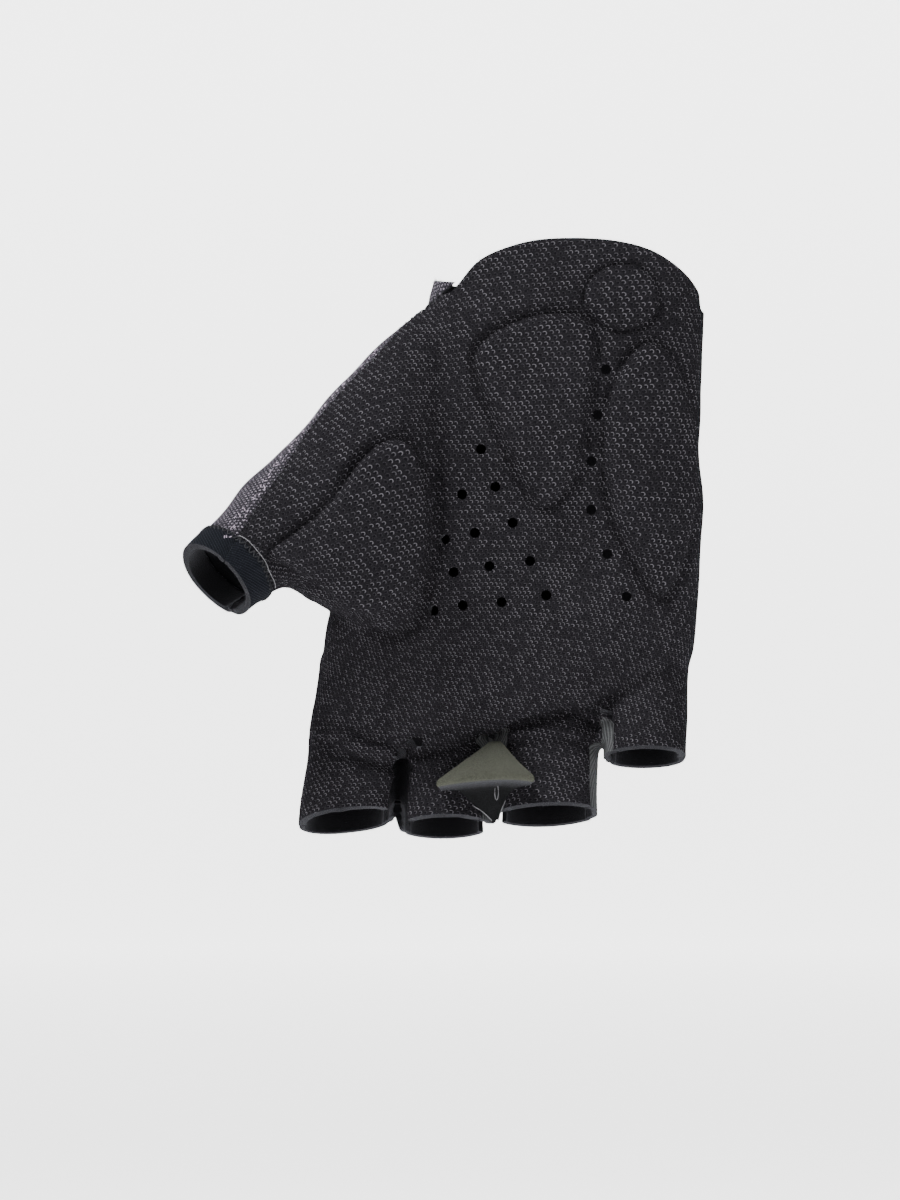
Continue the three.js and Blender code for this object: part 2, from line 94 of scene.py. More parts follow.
# Seam between palm and back along the thumb, as it shows from the front
THUMB_SEAM = [
    (-0.96, 0.655), (-0.883, 0.548), (-0.832, 0.476), (-0.757, 0.388), (-0.701, 0.316),
    (-0.6, 0.218), (-0.504, 0.137), (-0.448, 0.085), (-0.36, 0.024), (-0.267, -0.044),
]

WRIST_ARC = [
    (-0.5, 0.02), (-0.335, 0.012), (-0.307, 0.0), (-0.24, -0.061), (-0.133, -0.096), (-0.027, -0.107), (0.107, -0.1025),
    (0.213, -0.081), (0.293, -0.039), (0.339, 0.0065), (0.36, 0.0545), (0.5, 0.07),
]
BACK_EDGE = (-0.022, 0.065)

PADS = {
    "heel": [(-0.235, 0.12), (-0.08, 0.06), (0.06, 0.09), (0.045, 0.28), (0.01, 0.41), (-0.08, 0.472), (-0.14, 0.4), (-0.24, 0.21)],
    "outer": [(0.2, 0.12), (0.29, 0.19), (0.325, 0.38), (0.31, 0.54), (0.245, 0.665), (0.16, 0.58), (0.1, 0.44), (0.1, 0.24)],
    "thumb": [
        (-0.43, 0.338), (-0.39, 0.46), (-0.392, 0.58), (-0.43, 0.66), (-0.49, 0.7), (-0.58, 0.69), (-0.69, 0.63),
        (-0.79, 0.58), (-0.72, 0.53), (-0.62, 0.46), (-0.54, 0.36),
    ],
}
DISC = (0.136, 0.02)

# Low mounds and hollows of the palm: across, down, wide, tall, rise in millimetres
MOUNDS = [
    (0.22, 0.42, 0.13, 0.24, 1.6),
    (-0.14, 0.62, 0.16, 0.18, -1.6),
    (-0.33, 0.88, 0.24, 0.07, 1.0),
    (0.0, 0.83, 0.14, 0.06, 0.6),
]

# Folds of the worn cloth: how far it stands over the line and how far back that reaches, in millimetres,
# then points across and down. The raised side is on the left of the line's way.
FOLDS = [
    (2.2, 4.5, [(-0.62, 0.99), (-0.597, 0.999), (-0.555, 1.012), (-0.507, 1.023), (-0.455, 1.03)]),
    (
        2.3, 7.0,
        [(-0.44, 1.012), (-0.427, 1.004), (-0.347, 0.99), (-0.267, 0.977), (-0.192, 0.956), (-0.133, 0.934),
         (-0.067, 0.919), (0.0, 0.91), (0.06, 0.925)],
    ),
    (1.0, 2.6, [(-0.2, 0.985), (-0.187, 0.976), (-0.107, 0.973), (-0.027, 0.969), (0.045, 0.975)]),
    (0.6, 2.2, [(-0.03, 0.945), (0.02, 0.94), (0.06, 0.95)]),
    (
        1.7, 5.0,
        [(-0.67, 0.69), (-0.64, 0.694), (-0.555, 0.707), (-0.491, 0.742), (-0.427, 0.724), (-0.384, 0.637),
         (-0.365, 0.524), (-0.373, 0.41), (-0.416, 0.349), (-0.43, 0.33)],
    ),
]

# Soft furrows: half width and depth in millimetres, then points across and down
CREASES = [
    (0.9, 0.8, [(-0.72, 0.645), (-0.68, 0.648), (-0.63, 0.655)]),
    (1.2, 0.35, [(-0.61, 1.03), (-0.61, 1.11)]),
    (1.6, 0.5, [(-0.3, 1.03), (-0.27, 1.09), (-0.25, 1.15)]),
    (1.4, 0.4, [(0.14, 0.93), (0.2, 0.945), (0.27, 0.94)]),
    (1.6, -0.5, [(-0.84, 0.605), (-0.757, 0.562), (-0.7, 0.506), (-0.6, 0.452), (-0.555, 0.401), (-0.45, 0.345)]),
    (1.3, 0.5, [(-0.75, 0.54), (-0.68, 0.49), (-0.6, 0.41), (-0.54, 0.36)]),
]

# Pits: across, down, radius and depth in millimetres
PITS = [(-0.461, 1.034, 2.2, 1.3), (0.053, 0.842, 1.8, 0.9), (0.07, 0.945, 1.6, 1.5)]

VENTS = [
    (0.092, 0.178), (0.07, 0.276), (0.054, 0.376), (0.054, 0.481), (0.097, 0.577), (0.148, 0.669),
    (-0.238, 0.35), (-0.288, 0.448), (-0.2, 0.431), (-0.334, 0.545), (-0.254, 0.531), (-0.154, 0.509),
    (-0.31, 0.616), (-0.216, 0.603), (-0.108, 0.592), (-0.363, 0.699), (-0.286, 0.688), (-0.183, 0.681), (-0.065, 0.666),
]


def length(name, about, value):
    return bpy.props.FloatProperty(name=name, description=about, default=value, min=0, unit="LENGTH", precision=5)


def tint(name, about, value):
    return bpy.props.FloatVectorProperty(name=name, description=about, default=value, size=3, subtype="COLOR", min=0, max=1)


class GloveSizes(bpy.types.PropertyGroup):
    palm_breadth: length("Palm breadth", "Breadth that the palm's shares are taken of", 90 * MM)
    palm_length: length("Palm length", "Length that the shares down the hand are taken of", 110 * MM)
    palm_depth: length("Palm depth", "Thickness of the hand with the glove", 40 * MM)
    thumb_depth: length("Thumb depth", "Thickness of the thumb", 21 * MM)
    finger_depth: length("Finger depth", "Thickness of a finger stall", 19.4 * MM)
    stall_gap: length("Stall gap", "Gap between two finger stalls", 1.3 * MM)
    palm_wall: length("Palm wall", "Thickness of the palm's cloth", 1.7 * MM)
    back_wall: length("Back wall", "Thickness of the back's cloth", 1.1 * MM)
    seam_gap: length("Seam gap", "Dark gap where two cloths are sewn", 0.08 * MM)
    hem_width: length("Hem width", "Width of the band round the thumb opening", 6.8 * MM)
    vent_radius: length("Vent radius", "Radius of an air hole", 1.2 * MM)
    disc_radius: length("Disc radius", "Radius of the round embossed patch", 9.2 * MM)
    pad_rise: length("Pad rise", "Height of the pads over the palm", 1.7 * MM)
    voxel: length("Cloth step", "Length of the cloth mesh's squares", 0.9 * MM)
    loop_pitch: length("Loop pitch", "Distance between the palm's knitted loops", 1.28 * MM)


class GloveColours(bpy.types.PropertyGroup):
    palm: tint("Palm", "Ground of the palm's knit", (0.0045, 0.0043, 0.0052))
    loop: tint("Loop", "Light yarn of the palm's loops", (0.08, 0.0765, 0.085))
    back: tint("Back", "Knit of the back", (0.012, 0.0112, 0.0138))
    # The side wall's tint is its rib colour lightened to stand in for light that does not reach into the gaps: partly
    # painted light.
    side: tint("Side wall", "Rib between the fingers", (0.03, 0.031, 0.032))
    hem: tint("Hem", "Band at the thumb", (0.0045, 0.005, 0.0065))
    tab: tint("Tab", "Suede of the pull tab", (0.027, 0.028, 0.022))
    thread: tint("Thread", "Sewing thread", (0.011, 0.011, 0.012))


def smooth(start, end, value):
    t = np.clip((value - start) / (end - start), 0, 1)
    return t * t * (3 - 2 * t)


def soft_max(a, b, reach):
    """The greater of two fields, rounded where they cross."""
    blend = np.clip(0.5 + 0.5 * (a - b) / reach, 0, 1)
    return b + (a - b) * blend + reach * blend * (1 - blend)


def refine(rows, steps):
    """Puts steps sections between each two rows of a table, on a smooth curve through every column."""
    rows = np.array(rows, float)
    made = []
    for i in range(len(rows) - 1):
        start, end = rows[i], rows[i + 1]
        start_slope = (end - rows[max(i - 1, 0)]) / 2
        end_slope = (rows[min(i + 2, len(rows) - 1)] - start) / 2
        for t in np.arange(steps) / steps:
            made.append(
                start * (2 * t**3 - 3 * t**2 + 1)
                + start_slope * (t**3 - 2 * t**2 + t)
                + end * (3 * t**2 - 2 * t**3)
                + end_slope * (t**3 - t**2)
            )
    made.append(rows[-1])
    return np.array(made)


def to_line(points, line):
    """Distance of each point in a plane to an open line, and which side it lies on: positive is left of the line's way."""
    best = np.full(len(points), np.inf)
    side = np.ones(len(points))
    for start, end in zip(line[:-1], line[1:]):
        way = end - start
        share = np.clip(((points - start) @ way) / (way @ way), 0, 1)
        offset = points - (start + share[:, None] * way)
        distance = np.hypot(*offset.T)
        turned = np.sign(way[0] * (points[:, 1] - start[1]) - way[1] * (points[:, 0] - start[0]))
        nearer = distance < best
        best[nearer] = distance[nearer]
        side[nearer] = turned[nearer]
    return best, side


class Hand:
    """The form that the cloth takes, worked out from the sizes."""

    def __init__(self, sizes):
        self.sizes = sizes
        self.palm_front = -0.5 * sizes.palm_depth
        rows = [self.thumb_ring(row) for row in THUMB_SECTIONS]
        self.mouth = rows[-1]["centre"]
        self.mouth_way = np.cross(rows[-1]["through"], rows[-1]["across"])

    def across(self, share):
        return share * self.sizes.palm_breadth

    def down(self, share):
        return -share * self.sizes.palm_length

    def place(self, points):
        table = np.array(points, float)
        return np.column_stack([self.across(table[:, 0]), self.down(table[:, 1])])

    def palm_ring(self, row):
        down, radial, ulnar, middle, half, slope = row
        angle = math.atan(slope)
        return {
            "centre": np.array([self.across((radial + ulnar) / 2), middle * self.sizes.palm_depth, self.down(down)]),
            "across": np.array([math.cos(angle), 0, math.sin(angle)]),
            "through": np.array([0.0, 1, 0]),
            "half": (self.across(ulnar - radial) / 2 / math.cos(angle), half * self.sizes.palm_depth),
            "powers": (2.9, 2.3),
        }

    def thumb_ring(self, row):
        out_across, out_down, in_across, in_down, middle, half, lean = row
        outer = np.array([self.across(out_across), 0, self.down(out_down)])
        inner = np.array([self.across(in_across), 0, self.down(in_down)])
        unit = (inner - outer) / np.linalg.norm(inner - outer)
        axis = np.array([unit[2], 0, -unit[0]])
        turn = math.radians(lean)
        centre = (outer + inner) / 2
        centre[1] = middle * self.sizes.palm_depth
        return {
            "centre": centre,
            "across": unit,
            "through": np.array([0, math.cos(turn), 0]) + axis * math.sin(turn),
            "half": (np.linalg.norm(inner - outer) / 2, half * self.sizes.thumb_depth),
            "powers": (2.1, 2.1),
        }

    def finger_ring(self, finger, t):
        left, right, shift, root, tip, root_y, tip_y, thick, slope = finger
        lean, tilt = math.radians(FINGER_LEAN * t), math.atan(slope * t)
        depth = self.sizes.palm_depth * (root_y + (tip_y - root_y) * t * t)
        middle = self.across((left + right) / 2 + shift * (1 - min(t, 1)))
        return {
            "centre": np.array([middle, depth, self.down(root + (tip - root) * t)]),
            "across": np.array([math.cos(tilt), 0, math.sin(tilt)]),
            "through": np.array([0, math.cos(lean), -math.sin(lean)]),
            "half": ((self.across(right - left) - self.sizes.stall_gap) / 2, thick * self.sizes.finger_depth / 2),
            "powers": (2.2, 2.2),
        }

    def stall_middle(self, x, z):
        """Depth of the middle of the stalls at each place in the front view."""
        total, weights = np.zeros(len(x)), np.zeros(len(x))
        blend = 2 * MM
        names = list(FINGERS)
        for name, (left, right, _, root, tip, root_y, tip_y, _, _) in FINGERS.items():
            t = np.clip((z - self.down(root)) / (self.down(tip) - self.down(root)), 0, 1.3)
            edges = self.across(left), self.across(right)
            past = 1 if name == names[0] else smooth(edges[0] - blend, edges[0] + blend, x)
            short = 0 if name == names[-1] else smooth(edges[1] - blend, edges[1] + blend, x)
            weight = past * (1 - short)
            total += weight * self.sizes.palm_depth * (root_y + (tip_y - root_y) * t * t)
            weights += weight
        return total / weights

    def seam(self, points):
        """Negative on the palm cloth, positive on the back's, 0 along the seam that joins them."""
        x, y, z = points.T
        beside_hand = 0.04 * self.sizes.palm_depth + self.stall_middle(x, z)
        along = (self.across(-0.62) - x) / self.across(0.4)
        beside_thumb = self.sizes.palm_depth * (-0.14 - 0.34 * along)
        over_thumb = smooth(self.down(0.66), self.down(0.5), z)
        beside_hand += np.minimum(beside_thumb - 1.5 * MM - beside_hand, 0) * over_thumb
        on_thumb = smooth(self.across(-0.68), self.across(-0.76), x)
        depth = y - (beside_hand * (1 - on_thumb) + beside_thumb * on_thumb)
        line = refine(self.place(THUMB_SEAM), 4)
        distance, side = to_line(np.column_stack([x, z]), line)
        outer = distance * side
        return soft_max(depth, outer, 2 * MM)

    def in_thumb_zone(self, points):
        return (points[:, 0] < self.across(-0.7)) & (points[:, 2] > self.down(0.78))

    def past_mouth(self, points):
        """How far each point lies past the thumb's opening. Elsewhere on the hand it is far behind it."""
        past = (points - self.mouth) @ self.mouth_way + 0.9 * MM
        return np.where(self.in_thumb_zone(points), past, -50 * MM)

    def past_tips(self, points):
        """How far each point lies past the open end of its stall."""
        past = np.full(len(points), -50 * MM)
        for finger in FINGERS.values():
            ring = self.finger_ring(finger, 1)
            way = np.cross(ring["through"], ring["across"])
            own = (points[:, 0] > self.across(finger[0])) & (points[:, 0] <= self.across(finger[1]))
            own &= points[:, 2] < self.down(0.9)
            past = np.where(own, (points - ring["centre"]) @ way, past)
        return past

    def past_wrist(self, points, cloth):
        """How far each point lies over the wrist edge of the palm or back cloth."""
        if cloth == "back":
            edge = np.interp(points[:, 0], [self.across(-0.4), self.across(0.4)], [self.down(e) for e in BACK_EDGE])
        else:
            arc = refine(self.place(WRIST_ARC), 6)
            edge = np.interp(points[:, 0], arc[:, 0], arc[:, 1])
        return points[:, 2] - edge

    def side_wall(self, points, left, right):
        """Negative inside the strip between two stalls, with rounded corners."""
        first, second = FINGERS[left], FINGERS[right]
        gap = self.across(first[1])
        crotch = self.down(0.95) + 0.242 * (gap - self.across(-0.2))
        x, y, z = points.T
        reach = np.abs(x - gap) - 5.2 * MM
        middle = self.stall_middle(np.where(x < gap, gap - 4 * MM, gap + 4 * MM), z) - 0.3 * MM
        depth = np.abs(y - middle) - 5.6 * MM
        top = z - (crotch + 3.6 * MM)
        return soft_max(soft_max(reach, depth, 2 * MM), top, 3 * MM)


# Mesh helpers


def deselect():
    if bpy.context.object and bpy.context.object.mode != "OBJECT":
        bpy.ops.object.mode_set(mode="OBJECT")
    bpy.ops.object.select_all(action="DESELECT")


def pick(*pieces):
    deselect()
    for piece in pieces:
        piece.select_set(True)
    bpy.context.view_layer.objects.active = pieces[-1]


def points_of(piece):
    flat = np.empty(len(piece.data.vertices) * 3)
    piece.data.vertices.foreach_get("co", flat)
    return flat.reshape(-1, 3)


def normals_of(piece):
    flat = np.empty(len(piece.data.vertices) * 3)
    piece.data.vertex_normals.foreach_get("vector", flat)
    return flat.reshape(-1, 3)


def move_points(piece, points):
    piece.data.vertices.foreach_set("co", np.ascontiguousarray(points).ravel())
    piece.data.update()


def apply_modifier(piece, kind, **settings):
    pick(piece)
    modifier = piece.modifiers.new(kind.title(), kind)
    for name, value in settings.items():
        setattr(modifier, name, value)
    bpy.ops.object.modifier_apply(modifier=modifier.name)


def copy_of(piece, name):
    made = piece.copy()
    made.data = piece.data.copy()
    made.name = made.data.name = name
    bpy.context.scene.collection.objects.link(made)
    return made


def tube(name, rings, sides):
    """A closed tube through rings, started as a flat grid that is rolled up and closed at its ends."""
    deselect()
    bpy.ops.mesh.primitive_grid_add(x_subdivisions=sides, y_subdivisions=len(rings) - 1, size=1)
    piece = bpy.context.object
    piece.name = name
    angle = np.linspace(0, 2 * math.pi, sides + 1)
    c, s = np.cos(angle), np.sin(angle)
    rows = []
    for ring in rings:
        power = 2 / np.where(s < 0, *ring["powers"])
        u = np.sign(c) * np.abs(c) ** power * ring["half"][0]
        v = np.sign(s) * np.abs(s) ** power * ring["half"][1]
        rows.append(ring["centre"] + u[:, None] * ring["across"] + v[:, None] * ring["through"])
    move_points(piece, np.concatenate(rows))
    bpy.ops.object.mode_set(mode="EDIT")
    bpy.ops.mesh.select_all(action="SELECT")
    bpy.ops.mesh.remove_doubles(threshold=1e-6)
    bpy.ops.mesh.fill_holes(sides=0)
    bpy.ops.mesh.select_all(action="SELECT")
    bpy.ops.mesh.normals_make_consistent(inside=False)
    bpy.ops.object.mode_set(mode="OBJECT")
    return piece


def trim(piece, values):
    """Cuts a piece along the line where values, one for each vertex, pass 0, and keeps the negative side."""
    values = np.where(np.abs(values) < 1e-8, -1e-8, values)
    if (values < 0).all():
        return
    made = bmesh.new()
    made.from_mesh(piece.data)
    made.verts.ensure_lookup_table()
    outside = [made.verts[i] for i in np.flatnonzero(values > 0)]
    ends = np.empty(len(piece.data.edges) * 2, int)
    piece.data.edges.foreach_get("vertices", ends)
    ends = ends.reshape(-1, 2)
    made.edges.ensure_lookup_table()
    crossing = np.flatnonzero(values[ends[:, 0]] * values[ends[:, 1]] < 0)
    cut_edges = [made.edges[i] for i in crossing]
    cut, touched = set(), set()
    for edge in cut_edges:
        first, second = edge.verts
        start, end = values[first.index], values[second.index]
        touched.update(edge.link_faces)
        cut.add(bmesh.utils.edge_split(edge, first, start / (start - end))[1])
    for face in touched:
        on_line = [vert for vert in face.verts if vert in cut]
        if len(on_line) >= 2:
            bmesh.utils.face_split(face, on_line[0], on_line[1])
    bmesh.ops.delete(made, geom=outside, context="VERTS")
    made.to_mesh(piece.data)
    made.free()
    piece.data.update()


def rim_loops(piece, near):
    """Ordered lines of border points of an open sheet, for the stretches where near(points) is true."""
    made = bmesh.new()
    made.from_mesh(piece.data)
    border = [edge for edge in made.edges if edge.is_boundary]
    links = {}
    for edge in border:
        if near(np.array([v.co for v in edge.verts])).all():
            for one, other in (edge.verts, reversed(edge.verts)):
                links.setdefault(one, []).append(other)
    lines, seen = [], set()
    for start in sorted(links, key=lambda vert: len(links[vert])):
        if start in seen:
            continue
        line = [start]
        seen.add(start)
        while True:
            ahead = [vert for vert in links[line[-1]] if vert not in seen]
            if not ahead:
                break
            seen.add(ahead[0])
            line.append(ahead[0])
        if len(line) > 3:
            lines.append((np.array([v.co for v in line]), np.array([v.normal for v in line])))
    made.free()
    return lines


def evenly(line, step, *others):
    """The line, and any values along it, at points one step apart."""
    run = np.concatenate([[0], np.cumsum(np.linalg.norm(np.diff(line, axis=0), axis=1))])
    at = np.linspace(0, run[-1], max(int(run[-1] / step), 3))
    return [np.column_stack([np.interp(at, run, column) for column in values.T]) for values in (line, *others)]


def unit(vectors):
    return vectors / np.maximum(np.linalg.norm(vectors, axis=-1, keepdims=True), 1e-12)


def strands(name, paths, radius, sides=6, taper=1.0):
    """Threads or fibres as one piece: equally long rows of points, each made a closed tube."""
    paths = np.array(paths)
    count, rows = paths.shape[:2]
    deselect()
    bpy.ops.mesh.primitive_grid_add(x_subdivisions=sides, y_subdivisions=count * rows - 1, size=1)
    piece = bpy.context.object
    piece.name = name
    way = unit(np.gradient(paths, axis=1))
    least = np.eye(3)[np.argmin(np.abs(way.mean(axis=1)), axis=1)][:, None, :]
    first = unit(np.cross(way, least))
    second = np.cross(way, first)
    angle = np.linspace(0, 2 * math.pi, sides + 1)
    angle[-1] = 0
    thick = (radius * np.linspace(1, taper, rows))[None, :, None, None]
    rings = paths[:, :, None] + thick * (
        np.cos(angle)[:, None] * first[:, :, None] + np.sin(angle)[:, None] * second[:, :, None]
    )
    move_points(piece, rings.reshape(-1, 3))
    made = bmesh.new()
    made.from_mesh(piece.data)
    made.faces.ensure_lookup_table()
    between = [made.faces[row * sides + i] for row in range(rows - 1, count * rows - 1, rows) for i in range(sides)]
    bmesh.ops.delete(made, geom=between, context="FACES")
    bmesh.ops.remove_doubles(made, verts=made.verts, dist=1e-8)
    bmesh.ops.holes_fill(made, edges=[edge for edge in made.edges if edge.is_boundary], sides=0)
    bmesh.ops.recalc_face_normals(made, faces=made.faces)
    made.to_mesh(piece.data)
    made.free()
    piece.data.materials.append(None)
    pick(piece)
    bpy.ops.object.shade_smooth_by_angle(angle=math.radians(60))
    return piece


def lay_flat(piece):
    """Unwraps a sheet and lays its map out in metres, upright as seen from the front."""
    pick(piece)
    bpy.ops.object.mode_set(mode="EDIT")
    bpy.ops.mesh.select_all(action="SELECT")
    bpy.ops.uv.unwrap(method="ANGLE_BASED", margin=0.0)
    bpy.ops.object.mode_set(mode="OBJECT")
    mesh = piece.data
    flat = np.empty(len(mesh.loops) * 2)
    mesh.uv_layers.active.data.foreach_get("uv", flat)
    corners = np.empty(len(mesh.loops), int)
    mesh.loops.foreach_get("vertex_index", corners)
    points = points_of(piece)[corners]
    plane = points[:, 0] + 1j * points[:, 2]
    flat = flat.reshape(-1, 2)
    sheet = flat[:, 0] + 1j * flat[:, 1]
    plane_centre, sheet_centre = plane.mean(), sheet.mean()
    options = []
    for version in (sheet - sheet_centre, np.conj(sheet - sheet_centre)):
        factor = (np.conj(version) @ (plane - plane_centre)) / (np.conj(version) @ version)
        options.append((np.abs(version * factor - (plane - plane_centre)).mean(), version, factor))
    _, version, factor = min(options, key=lambda option: option[0])
    edges = np.empty(len(mesh.edges) * 2, int)
    mesh.edges.foreach_get("vertices", edges)
    ends = points_of(piece)[edges.reshape(-1, 2)]
    per_vertex = np.zeros(len(mesh.vertices), complex)
    per_vertex[corners] = version
    on_sheet = np.abs(np.diff(per_vertex[edges.reshape(-1, 2)], axis=1)).sum()
    scale = np.linalg.norm(ends[:, 0] - ends[:, 1], axis=1).sum() / on_sheet
    result = version * factor / abs(factor) * scale + plane_centre
    mesh.uv_layers.active.data.foreach_set("uv", np.column_stack([result.real, result.imag]).ravel())
    # A blank to cut the sheet from is never under 10 mm wide
    return tuple(max(np.ptp(way), 10.5 * MM) for way in (result.real, result.imag))


def line_with(piece, inner):
    """Makes room for the outer material and adds the second one, a darkened cloth that stands for painted shade."""
    piece.data.materials.clear()
    piece.data.materials.append(None)
    piece.data.materials.append(bpy.data.materials[inner])


def thicken(piece, wall):
    """Gives an open sheet its wall, inwards, with a darkened inner face and rim: painted shade inside the cloth."""
    line_with(piece, "Inner face painted shade")
    apply_modifier(
        piece, "SOLIDIFY", thickness=wall, offset=-1, use_even_offset=False, use_quality_normals=True,
        material_offset=1, material_offset_rim=1,
    )
    pick(piece)
    bpy.ops.object.shade_smooth_by_angle(angle=math.radians(50))


# Materials


class Nodes:
    """Short calls for the nodes of one tree."""

    def __init__(self, tree):
        self.tree = tree

    def add(self, kind, **settings):
        node = self.tree.nodes.new(kind)
        for name, value in settings.items():
            setattr(node, name, value)
        return node

    def feed(self, socket, value):
        if isinstance(value, bpy.types.NodeSocket):
            self.tree.links.new(value, socket)
        else:
            socket.default_value = value

    def math(self, operation, *values):
        node = self.add("ShaderNodeMath", operation=operation)
        for socket, value in zip(node.inputs, values):
            self.feed(socket, value)
        return node.outputs[0]

    def ramp(self, value, start, end, low=0.0, high=1.0):
        node = self.add("ShaderNodeMapRange", interpolation_type="SMOOTHSTEP")
        for socket, number in zip(node.inputs, (value, start, end, low, high)):
            self.feed(socket, number)
        return node.outputs[0]

    def mix(self, factor, first, second):
        node = self.add("ShaderNodeMix", data_type="RGBA")
        colours = [socket for socket in node.inputs if socket.type == "RGBA"]
        self.feed(node.inputs[0], factor)
        for socket, value in zip(colours, (first, second)):
            self.feed(socket, value if isinstance(value, bpy.types.NodeSocket) else (*value[:3], 1))
        return next(socket for socket in node.outputs if socket.type == "RGBA")

    def noise(self, vector, scale, detail=2.0):
        node = self.add("ShaderNodeTexNoise")
        self.feed(node.inputs["Vector"], vector)
        node.inputs["Scale"].default_value = scale
        node.inputs["Detail"].default_value = detail
        return node.outputs[0]

    def group(self, name, **values):
        node = self.add("ShaderNodeGroup", node_tree=bpy.data.node_groups[name])
        for key, value in values.items():
            self.feed(node.inputs[key], value)
        return node.outputs


def new_group(name, inputs, outputs):
    """A node group with named sockets. Vector sockets are told by their name."""
    tree = bpy.data.node_groups.new(name, "ShaderNodeTree")
    for label in inputs:
        kind = "NodeSocketVector" if label == "Vector" else "NodeSocketFloat"
        tree.interface.new_socket(label, in_out="INPUT", socket_type=kind)
    for label in outputs:
        tree.interface.new_socket(label, in_out="OUTPUT", socket_type="NodeSocketFloat")
    nodes = Nodes(tree)
    return nodes, nodes.add("NodeGroupInput").outputs, nodes.add("NodeGroupOutput").inputs


def loop_knit_group():
    """Staggered rows of small open loops round holes; the palm cloth darkens the holes as painted shade."""
    n, given, out = new_group("Loop knit", ["Vector", "Pitch"], ["Loop", "Hole", "Shade"])
    wobble = n.noise(given["Vector"], 420, 1)
    split = n.add("ShaderNodeSeparateXYZ")
    n.feed(split.inputs[0], given["Vector"])
    u = n.math("DIVIDE", split.outputs[0], given["Pitch"])
    v = n.math("DIVIDE", split.outputs[1], n.math("MULTIPLY", given["Pitch"], 0.86))
    u = n.math("ADD", u, n.math("MULTIPLY", wobble, 0.5))
    row = n.math("FLOOR", v)
    shifted = n.math("ADD", u, n.math("MULTIPLY", n.math("MODULO", n.math("ABSOLUTE", row), 2.0), 0.5))
    cell = n.add("ShaderNodeCombineXYZ")
    n.feed(cell.inputs[0], n.math("FLOOR", shifted))
    n.feed(cell.inputs[1], row)
    chance = n.add("ShaderNodeTexWhiteNoise", noise_dimensions="2D")
    n.feed(chance.inputs["Vector"], cell.outputs[0])
    stray = n.add("ShaderNodeSeparateColor")
    n.feed(stray.inputs[0], chance.outputs["Color"])
    x = n.math("ADD", n.math("SUBTRACT", n.math("FRACT", shifted), 0.62), n.math("MULTIPLY", stray.outputs[0], 0.24))
    y = n.math("ADD", n.math("SUBTRACT", n.math("FRACT", v), 0.62), n.math("MULTIPLY", stray.outputs[1], 0.24))
    radius = n.math("SQRT", n.math("ADD", n.math("MULTIPLY", x, x), n.math("MULTIPLY", y, y)))
    off_ring = n.math("ABSOLUTE", n.math("SUBTRACT", radius, 0.31))
    ring = n.ramp(off_ring, 0.03, 0.12, 1.0, 0.0)
    towards = n.math("ADD", n.math("MULTIPLY", x, 0.78), n.math("MULTIPLY", y, 0.62))
    facing = n.ramp(n.math("DIVIDE", towards, n.math("MAXIMUM", radius, 0.05)), -0.45, 0.25)
    loop = n.math("MULTIPLY", ring, facing)
    n.feed(out["Loop"], n.math("MULTIPLY", loop, n.ramp(chance.outputs["Value"], 0.0, 1.0, 0.12, 1.0)))
    n.feed(out["Hole"], n.ramp(radius, 0.12, 0.24, 1.0, 0.0))
    n.feed(out["Shade"], loop)


def rib_group():
    """Fine ribs that run down a strip, broken into short stitches."""
    n, given, out = new_group("Rib", ["Vector", "Pitch", "Slant"], ["Rib", "Stitch"])
    split = n.add("ShaderNodeSeparateXYZ")
    n.feed(split.inputs[0], given["Vector"])
    u = n.math("DIVIDE", n.math("ADD", split.outputs[0], n.math("MULTIPLY", split.outputs[1], given["Slant"])), given["Pitch"])
    v = n.math("DIVIDE", split.outputs[1], n.math("MULTIPLY", given["Pitch"], 1.2))
    wave = n.math("ABSOLUTE", n.math("SUBTRACT", n.math("FRACT", u), 0.5))
    n.feed(out["Rib"], n.ramp(wave, 0.08, 0.45, 1.0, 0.0))
    lifted = n.math("ADD", v, n.math("MULTIPLY", n.math("MODULO", n.math("ABSOLUTE", n.math("FLOOR", u)), 2.0), 0.5))
    beat = n.math("ABSOLUTE", n.math("SUBTRACT", n.math("FRACT", lifted), 0.5))
    n.feed(out["Stitch"], n.ramp(beat, 0.1, 0.48, 1.0, 0.0))


def fuzz_group():
    """Loose fibres and slow unevenness that every cloth here shares."""
    n, given, out = new_group("Fuzz", ["Vector"], ["Fine", "Broad"])
    n.feed(out["Fine"], n.ramp(n.noise(given["Vector"], 5200, 3), 0.3, 0.7))
    n.feed(out["Broad"], n.ramp(n.noise(given["Vector"], 60, 3), 0.3, 0.7))


def cloth_material(name, roughness, sheen):
    """A material with its own shader, its map coordinates and its object coordinates."""
    material = bpy.data.materials.new(name)
    material.use_nodes = True
    nodes = Nodes(material.node_tree)
    shader = material.node_tree.nodes["Principled BSDF"]
    shader.inputs["Roughness"].default_value = roughness
    shader.inputs["Specular IOR Level"].default_value = 0.0
    shader.inputs["Sheen Weight"].default_value = sheen
    shader.inputs["Sheen Roughness"].default_value = 0.5
    shader.inputs["Sheen Tint"].default_value = (0.85, 0.86, 0.95, 1)
    place = nodes.add("ShaderNodeTexCoord").outputs
    return material, nodes, shader, place["UV"], place["Object"]


def raise_bump(nodes, shader, height, distance, strength=1.0):
    bump = nodes.add("ShaderNodeBump")
    bump.inputs["Distance"].default_value = distance
    bump.inputs["Strength"].default_value = strength
    nodes.feed(bump.inputs["Height"], height)
    nodes.feed(shader.inputs["Normal"], bump.outputs[0])


